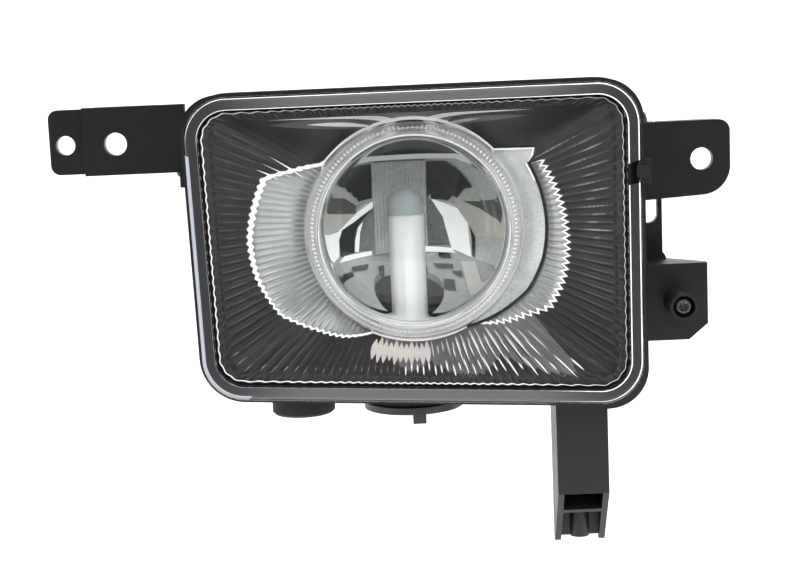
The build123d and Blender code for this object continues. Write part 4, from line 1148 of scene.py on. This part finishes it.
        # painted sheen on the flutes low on the right
        low = arc(*self.sheen_arc, 0.35)
        painted_sheen = [self.sheen_row(i / 10) for i in range(11)]
        polar_sheet("bezel_sheen", low, painted_sheen, "painted_sheen", False, "dark_reflector")
        for family in self.families:
            self.paint_streaks(family)
        for glint in self.glints:
            self.shelf_light(glint)
        self.spikes()
        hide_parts("fluted_bezel")
        for piece in (border, funnel, lip, collar, crescent, groove):
            LOG.info("bezel: %s, %d faces", piece.name, len(piece.data.polygons))


@dataclass
class LensBorder:
    """The painted grey band and the painted highlight lines on the raised border of the clear lens."""

    outline: RimOutline = field(default_factory=RimOutline)
    round_over: float = 1.4
    band: tuple[float, float] = (0.55, 3.95)
    line: float = 0.34
    sweep: tuple[float, float] = (16.6, 371.2)
    side: tuple[float, float] = (158.0, 222.0)
    stand_off: float = 0.04

    def height(self, inset: float) -> float:
        """Return the depth of the border's surface at a place inside the edge."""
        if inset >= self.round_over:
            return 0.0
        drop = self.round_over - inset
        return self.round_over - math.sqrt(self.round_over ** 2 - drop * drop)

    def row(self, inset: float, lift: float) -> Row:
        """Return a row that follows the border at a distance inside its edge."""

        def at(turn: float) -> tuple[float, float]:
            return self.outline.radius(turn, inset), self.height(inset) - lift

        return at

    def line_width(self, turn: float) -> float:
        """Return the width of the painted highlight lines: full on the right, fine on top, nearly none
        elsewhere.
        """
        angle = (math.degrees(turn) + 180) % 360 - 180
        right = smooth_step(-56, -34, angle) * (1 - smooth_step(30, 48, angle))
        top = smooth_step(30, 48, angle) * (1 - smooth_step(150, 158, angle))
        return max(0.03, self.line * (right + 0.5 * top))

    def line_row(self, edge: float, side: float, share: float) -> Row:
        """Return a row of a painted highlight line that starts at an edge and widens to one side."""

        def at(turn: float) -> tuple[float, float]:
            inset = edge + side * self.line_width(turn) * share
            return self.outline.radius(turn, inset), self.height(inset) - 2 * self.stand_off

        return at

    def build(self) -> None:
        """Make the painted band and its two painted highlight lines, open where the latch tongue sits."""
        first, last = self.band
        steps = [first + (last - first) * i / 8 for i in range(9)]
        start, stop = self.sweep
        turns = [math.radians(start + (stop - start) * i / 720) for i in range(721)]
        rows = [self.row(i, self.stand_off) for i in steps]
        polar_sheet("lens_band_painted_light", turns, rows, "lens_border_painted_light", False, "clear_lens")
        for name, edge, side in (("lens_highlight_outer", first, 1.0), ("lens_highlight_inner", last, -1.0)):
            rows = [self.line_row(edge, side, i / 2) for i in range(3)]
            polar_sheet(name, turns, rows, "painted_highlight", False, "clear_lens")
        # painted pale reflection along the left edge of the lens
        turns = arc(*self.side, 0.5)
        rows = [self.row(inset, 2 * self.stand_off) for inset in (0.15, 0.5, 0.9, 1.3)]
        polar_sheet("lens_reflection_left", turns, rows, "painted_pale_reflection", False, "clear_lens")
        LOG.info("lens border: band from %.2f to %.2f mm", first, last)


# ---------------------------------------------------------------- ring and inner lens


@dataclass
class LensRing:
    """The bright stepped ring with its line of beads, and the crowned inner lens."""

    beads: int = 150
    bead_height: float = 0.45
    profile: tuple[tuple[float, float, float], ...] = (
        (35.2, 24.8, 0.0), (35.0, 22.6, 0.0), (34.2, 21.0, 0.0), (33.6, 20.2, 0.0), (33.3, 20.5, 0.0),
        (33.0, 20.2, 0.4), (32.5, 19.7, 1.0), (32.0, 19.5, 0.6), (31.6, 19.6, 0.0), (31.3, 18.6, 0.0),
        (30.9, 17.8, 0.0), (30.3, 17.5, 0.0), (29.8, 17.7, 0.0), (29.4, 18.4, 0.0), (29.3, 22.3, 0.0),
    )
    lens_radius: float = 29.0
    lens_front: float = 22.6
    lens_crown: float = 7.0
    lens_wall: float = 2.6
    lens_steps: int = 48
    lens_columns: int = 192
    lens_seat: float = 1.5
    lens_edge: float = 0.4

    def row(self, radius: float, depth: float, beaded: float) -> Row:
        """Return one row of the ring, with beads where it carries them."""

        def at(turn: float) -> tuple[float, float]:
            bead = 0.5 + 0.5 * math.cos(self.beads * turn)
            return radius, depth - beaded * self.bead_height * bead

        return at

    def lens_sheet(self) -> bpy.types.Object:
        """Make the crowned clear lens as one closed turned solid."""
        outside, inside = [], []
        for i in range(self.lens_steps + 1):
            share = i / self.lens_steps
            crown = self.lens_crown * (1 - share * share)
            outside.append((max(0.01, self.lens_radius * share), self.lens_front - crown))
            back = self.lens_front - crown + self.lens_wall
            inside.append((max(0.01, (self.lens_radius - self.lens_seat) * share), back))
        edge = (self.lens_radius, self.lens_front + self.lens_wall - self.lens_edge)
        loop = inside + [edge] + outside[::-1]
        turns = [2 * math.pi * i / self.lens_columns for i in range(self.lens_columns)]
        rows = [lambda turn, rd=rd: rd for rd in loop]
        return polar_sheet("inner_lens_body", turns, rows, "clear_glass", True)

    def build(self) -> None:
        """Make the ring and the inner lens."""
        turns = [2 * math.pi * i / (self.beads * 8) for i in range(self.beads * 8)]
        ring = polar_sheet(
            "ring_body", turns, [self.row(*step) for step in self.profile], "bright_ring", True
        )
        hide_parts("lens_ring")
        lens = self.lens_sheet()
        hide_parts("inner_lens")
        LOG.info("ring: %d faces; inner lens: %d faces", len(ring.data.polygons), len(lens.data.polygons))


# ---------------------------------------------------------------- bowl


@dataclass(frozen=True)
class ReflectionPatch:
    """One painted reflection patch of the bowl, light or dark, as an outline of (across, up) places and its
    finish.
    """

    name: str
    finish: str
    outline: Curve
    lift: float = 0.9


@dataclass
class BowlReflections:
    """Painted reflections and shade standing for the bowl's stepped mirror facets, with a fluted panel behind
    the bulb.
    """

    datum: tuple[float, float] = (0.3, -2.5)
    mouth: float = 27.0
    radius: float = 31.0
    depth: float = 37.0
    panel: tuple[float, float, float, float] = (-12.8, 5.3, -13.4, 17.8)
    flutes: int = 15
    flute_height: float = 0.7
    top_shade_radius: float = 30.6
    arch: Curve = (
        (-27.5, 9.5), (-24.5, 14.0), (-21.0, 18.0), (-18.5, 19.6), (-13.0, 20.2), (-4.5, 20.2), (5.0, 20.2),
        (14.5, 20.0), (20.5, 17.8), (25.5, 14.0), (28.0, 9.5),
    )
    arch_drop: float = 1.7
    facets: tuple[ReflectionPatch, ...] = (
        ReflectionPatch("left_high", "painted_reflection_light", (
            (-28.5, 5.5), (-27.0, 11.0), (-22.5, 16.0), (-19.0, 18.0), (-12.0, 18.4),
            (-12.0, 5.0), (-18.5, 4.0), (-22.0, 7.0), (-25.5, 7.5)), 0.8),
        ReflectionPatch("left_olive", "painted_reflection_olive", (
            (-28.8, 3.0), (-28.3, 6.0), (-25.5, 7.5), (-22.0, 7.0), (-18.5, 4.0), (-18.5, 1.0),
            (-23.0, 1.6))),
        ReflectionPatch("left_beige", "painted_reflection_beige", (
            (-28.8, 3.0), (-24.0, 2.0), (-19.0, 1.0), (-23.5, -3.5), (-28.8, -4.5))),
        ReflectionPatch("left_white", "painted_reflection_white", (
            (-29.0, -4.5), (-24.0, -3.8), (-18.5, 1.2), (-13.0, 4.6), (-13.0, 2.2),
            (-19.0, -1.5), (-24.0, -6.5), (-24.0, -11.5), (-25.5, -13.0), (-28.5, -8.5)), 1.0),
        ReflectionPatch("left_lobe", "painted_shade", (
            (-23.0, 12.0), (-21.6, 13.6), (-20.2, 15.4), (-19.0, 16.6), (-16.5, 17.5),
            (-12.6, 17.6), (-13.2, 5.6), (-15.6, 5.4), (-17.5, 5.0), (-18.0, 6.6), (-18.9, 6.9),
            (-19.4, 8.4), (-20.6, 8.9), (-21.0, 10.5), (-22.4, 10.7)), 1.4),
        ReflectionPatch("low_left_lobe", "painted_shade", (
            (-24.0, -6.5), (-23.0, -3.5), (-19.0, -1.5), (-13.2, 2.2), (-17.2, -2.0),
            (-18.8, -4.5), (-19.3, -11.5), (-23.5, -11.8)), 1.4),
        ReflectionPatch("left_stripe", "painted_reflection_white", (
            (-16.5, -2.0), (-18.0, -3.5), (-19.2, -7.5), (-19.4, -11.3), (-18.1, -11.5),
            (-17.6, -5.5)), 1.6),
        ReflectionPatch("left_panel", "painted_reflection_mid", (
            (-13.2, 2.4), (-16.3, -2.6), (-17.5, -6.0), (-18.2, -11.0), (-13.4, -11.6)), 1.2),
        ReflectionPatch("right_high", "painted_reflection_light", (
            (5.0, 18.4), (17.0, 18.0), (25.0, 11.5), (27.8, 4.0), (23.0, 4.5), (16.5, 3.5),
            (6.0, 3.5)), 0.8),
        ReflectionPatch("right_lobe", "painted_reflection_brown", (
            (5.3, 17.4), (11.5, 17.5), (15.5, 14.6), (17.8, 11.8), (20.0, 8.5), (17.6, 8.0),
            (15.4, 4.6), (14.0, 5.4), (12.5, 3.6), (9.5, 4.0), (7.0, 4.0), (6.6, 6.0), (5.6, 4.4)), 1.4),
        ReflectionPatch("right_lobe_edge", "painted_shade", (
            (15.5, 14.6), (17.8, 11.8), (20.0, 8.5), (17.6, 8.0), (15.4, 4.6), (15.0, 9.0),
            (16.0, 12.0)), 1.6),
        ReflectionPatch("right_panel", "painted_reflection_mid", (
            (5.6, 4.4), (7.6, 3.4), (9.6, 0.8), (10.9, -5.0), (12.0, -11.0), (5.2, -11.5)), 1.2),
        ReflectionPatch("right_wedge", "painted_reflection_white", (
            (6.8, 4.2), (11.0, 2.8), (15.5, 1.0), (18.5, -4.0), (19.0, -14.5), (13.0, -12.5),
            (10.6, -2.0)), 1.3),
        ReflectionPatch("right_sliver", "painted_shade", (
            (19.0, -4.5), (20.6, -8.0), (20.2, -14.5), (19.2, -14.0), (19.5, -9.0)), 1.6),
        ReflectionPatch("right_beige", "painted_reflection_beige", (
            (14.5, 3.6), (22.0, 4.5), (25.0, 1.5), (28.4, -3.5), (28.4, -7.5), (20.5, -8.0),
            (18.5, -4.0)), 1.0),
        ReflectionPatch("right_olive", "painted_reflection_olive", (
            (17.0, 3.6), (23.0, 3.9), (26.4, 5.0), (28.0, -2.0), (26.0, -1.0), (22.0, 1.6)), 1.3),
        ReflectionPatch("right_low", "painted_reflection_light", (
            (20.5, -8.0), (28.4, -7.0), (28.4, -11.5), (25.5, -16.0), (20.0, -15.0)), 1.1),
        ReflectionPatch("shelf_left", "painted_reflection_white", (
            (-22.5, -11.8), (-14.0, -11.9), (-14.0, -13.2), (-24.0, -13.4)), 1.8),
        ReflectionPatch("shelf_right", "painted_reflection_white", (
            (3.5, -12.0), (13.0, -12.2), (14.0, -13.7), (3.5, -13.7)), 1.8),
        ReflectionPatch("floor_step_left", "painted_shade", (
            (-20.5, -15.5), (-15.0, -15.8), (-15.6, -17.4), (-20.0, -17.0))),
        ReflectionPatch("floor_pocket_left", "painted_shade", (
            (-12.0, -17.0), (-10.0, -16.8), (-10.0, -21.0), (-11.6, -19.6))),
        ReflectionPatch("floor_pocket_right", "painted_shade", (
            (3.0, -17.4), (4.5, -18.0), (4.4, -20.6), (3.0, -21.5))),
        ReflectionPatch("floor_slot_high", "painted_shade", (
            (8.5, -13.9), (12.3, -13.9), (12.6, -15.5), (8.6, -15.3)), 1.2),
        ReflectionPatch("floor_slot_middle", "painted_shade", (
            (6.5, -17.3), (13.0, -17.1), (13.0, -18.5), (8.0, -18.6)), 1.2),
        ReflectionPatch("floor_slot_side", "painted_shade", (
            (12.6, -19.2), (15.6, -18.8), (15.6, -20.8), (12.8, -19.9)), 1.2),
        ReflectionPatch("floor_block", "painted_shade", (
            (9.5, -21.5), (13.0, -21.4), (13.2, -24.4), (9.6, -24.4)), 1.2),
        ReflectionPatch("floor_block_left", "painted_shade", (
            (-23.0, -17.0), (-20.0, -16.9), (-19.6, -18.4), (-22.8, -19.0))),
        ReflectionPatch("floor_rib", "painted_reflection_beige", (
            (15.5, -16.0), (20.0, -15.5), (21.6, -23.0), (17.4, -25.3)), 1.3),
    )

    def surface(self, x: float, z: float) -> float:
        """Return the bowl's depth at a place, measured from the lens outline's datum."""
        out = math.hypot(x - self.datum[0], z - self.datum[1]) / self.radius
        return self.mouth + self.depth * (1 - out * out)

    def spot(self, x: float, z: float, lift: float) -> Point:
        """Return a point in front of the bowl, measured from the optical axis."""
        return (x - self.datum[0], self.surface(x, z) - lift, z - self.datum[1])

    def patch(self, facet: ReflectionPatch) -> None:
        """Make one painted patch, laid on the bowl and slightly in front of it."""
        flat, faces = filled(facet.outline, 0.8)
        points = [self.spot(p.x, p.y, facet.lift) for p in flat]
        mesh_object("bowl_painted_" + facet.name, points, faces, facet.finish, "bright_reflector")

    def top_shade(self) -> None:
        """Make the dark patch of painted shade over the facets and the painted highlight edge under it."""
        turns = [math.atan2(z - self.datum[1], x - self.datum[0]) for x, z in (self.arch[-1], self.arch[0])]
        rim = []
        for i in range(49):
            turn = turns[0] + (turns[1] - turns[0]) * i / 48
            x, z = self.top_shade_radius * math.cos(turn), self.top_shade_radius * math.sin(turn)
            rim.append((x + self.datum[0], z + self.datum[1]))
        self.patch(ReflectionPatch("top_shade", "painted_shade", (*self.arch, *rim), 1.0))
        under = [(x * 0.985, z - self.arch_drop) for x, z in self.arch]
        self.patch(ReflectionPatch("top_shade_highlight", "painted_highlight", (*self.arch, *under[::-1]), 1.8))

    def fluted_panel(self) -> None:
        """Make the upright flutes behind the bulb, coloured as a painted reflection."""
        left, right, low, high = self.panel
        columns, rows = self.flutes * 10, 40
        points, faces = [], []
        for j in range(rows + 1):
            z = low + (high - low) * j / rows
            for i in range(columns + 1):
                x = left + (right - left) * i / columns
                crest = abs(math.sin(math.pi * self.flutes * i / columns))
                points.append(self.spot(x, z, 1.0 + self.flute_height * crest))
        for j in range(rows):
            for i in range(columns):
                a = j * (columns + 1) + i
                faces.append([a, a + 1, a + columns + 2, a + columns + 1])
        mesh_object("bowl_painted_panel", points, faces, "painted_reflection_light", "bright_reflector")

    def build(self) -> None:
        """Make the painted top shade, the panel and every painted patch."""
        self.top_shade()
        self.fluted_panel()
        for facet in self.facets:
            self.patch(facet)
        LOG.info("bowl: %d facets", len(self.facets) + 3)


# ---------------------------------------------------------------- studio


@dataclass
class Studio:
    """Floor, light and camera."""

    stand_off: float = 448.0
    aside: float = -5.3
    above: float = 48.4
    pitch: float = 8.12
    roll: float = 2.5
    focal: float = 67.5
    floor_drop: float = 60.0
    floor_sides: tuple[float, float] = (-2.2, 2.4)
    floor_front: float = -0.35
    floor_back: float = 0.7
    bend: float = 0.5
    backdrop: float = 2.2

    def camera(self) -> None:
        """Make the camera, in front of the lens, looking slightly down and turned a little."""
        eye = Vector(place(self.aside, -self.stand_off, self.above))
        pitch, roll = math.radians(self.pitch), math.radians(self.roll)
        right = Vector((1, 0, 0))
        ahead = Vector((0, math.cos(pitch), -math.sin(pitch)))
        up = Vector((0, math.sin(pitch), math.cos(pitch)))
        side = right * math.cos(roll) - up * math.sin(roll)
        top = right * math.sin(roll) + up * math.cos(roll)
        turn = Matrix((side, top, -ahead)).transposed().to_4x4()
        data = bpy.data.cameras.new("camera")
        data.lens = self.focal
        data.sensor_width = 36.0
        data.clip_start = 0.01
        thing = bpy.data.objects.new("camera", data)
        thing.matrix_world = Matrix.Translation(eye) @ turn
        bpy.context.scene.collection.objects.link(thing)
        bpy.context.scene.camera = thing

    def floor(self) -> None:
        """Make one pale sheet that is the floor and curves up into the backdrop."""
        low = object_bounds()[0].z - self.floor_drop * MM
        profile = [(self.floor_front, low), (self.floor_back, low)]
        for i in range(1, 13):
            turn = math.pi / 2 * i / 12
            rise = low + self.bend * (1 - math.cos(turn))
            profile.append((self.floor_back + self.bend * math.sin(turn), rise))
        profile.append((self.floor_back + self.bend, low + self.backdrop))
        points, faces = [], []
        for y, z in profile:
            points += [(x, y, z) for x in self.floor_sides]
        for i in range(len(profile) - 1):
            faces.append([2 * i, 2 * i + 1, 2 * i + 3, 2 * i + 2])
        mesh = bpy.data.meshes.new("floor")
        mesh.from_pydata(points, [], faces)
        mesh.shade_smooth()
        sheet = bpy.data.objects.new("floor", mesh)
        bpy.context.scene.collection.objects.link(sheet)
        material, tree, shader = blank("pale_paper")
        fibres = use_group(tree, "grain", Size=2.0, Depth=1.0, Patches=0.05)
        base = mixed(tree, fibres.outputs["Height"], (0.42, 0.42, 0.42), (0.45, 0.45, 0.45))
        tree.links.new(base, shader.inputs["Base Color"])
        shader.inputs["Roughness"].default_value = 0.9
        shader.inputs["Emission Color"].default_value = (1, 1, 1, 1)
        shader.inputs["Emission Strength"].default_value = 0.95
        mesh.materials.append(material)
        sheet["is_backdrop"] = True

    def light(
        self, name: str, spot: Point, aim: Point, size: tuple[float, float], power: float,
        mirrored: bool = True,
    ) -> None:
        """Hang one soft box.

        Args:
            name: its name.
            spot: where it hangs, in millimetres from the lamp's centre.
            aim: the point that it faces, likewise.
            size: its width and height, in metres.
            power: its power in watts.
            mirrored: whether shiny surfaces show it.
        """
        data = bpy.data.lights.new(name, "AREA")
        data.shape = "RECTANGLE"
        data.size, data.size_y = size
        data.energy = power
        thing = bpy.data.objects.new(name, data)
        where = Vector(place(*spot))
        towards = Vector(place(*aim)) - where
        thing.location = where
        thing.rotation_euler = towards.to_track_quat("-Z", "Y").to_euler()
        thing.visible_glossy = mirrored
        thing.visible_transmission = mirrored
        bpy.context.scene.collection.objects.link(thing)

    def build(self) -> None:
        """Make the camera, the floor, the lights and the dim surroundings."""
        self.camera()
        self.floor()
        centre = (0.0, 0.0, 0.0)
        self.light("top_box", (0, -250, 900), centre, (1.0, 0.7), 6.0)
        self.light("left_box", (-900, -450, 250), centre, (0.5, 0.9), 3.2)
        self.light("right_box", (900, -450, 250), centre, (0.5, 0.9), 3.6)
        self.light("front_box", (100, -1100, 500), centre, (0.8, 0.5), 17.0, mirrored=False)
        world = bpy.data.worlds.new("surroundings")
        world.use_nodes = True
        sky = world.node_tree.nodes["Background"]
        sky.inputs["Color"].default_value = (1, 1, 1, 1)
        sky.inputs["Strength"].default_value = 0.05
        bpy.context.scene.world = world
        bpy.context.scene.view_settings.view_transform = "Standard"
        LOG.info("studio: camera %.0f mm in front of the lens", self.stand_off)


# ---------------------------------------------------------------- main


def dress_nodes() -> None:
    """Give every CAD node the finish that its material slot names."""
    for entry in frame["record"]["subparts"]:
        dress(entry["node"], entry["material_slot"])


def main() -> None:
    """Build the studio and dress and detail the lamp, piece by piece."""
    logging.basicConfig(level=logging.INFO, format="%(name)s: %(message)s")
    Studio().build()
    dress_nodes()
    Bezel().build()
    LensBorder().build()
    LensRing().build()
    BowlReflections().build()


if __name__ == "__main__":
    main()
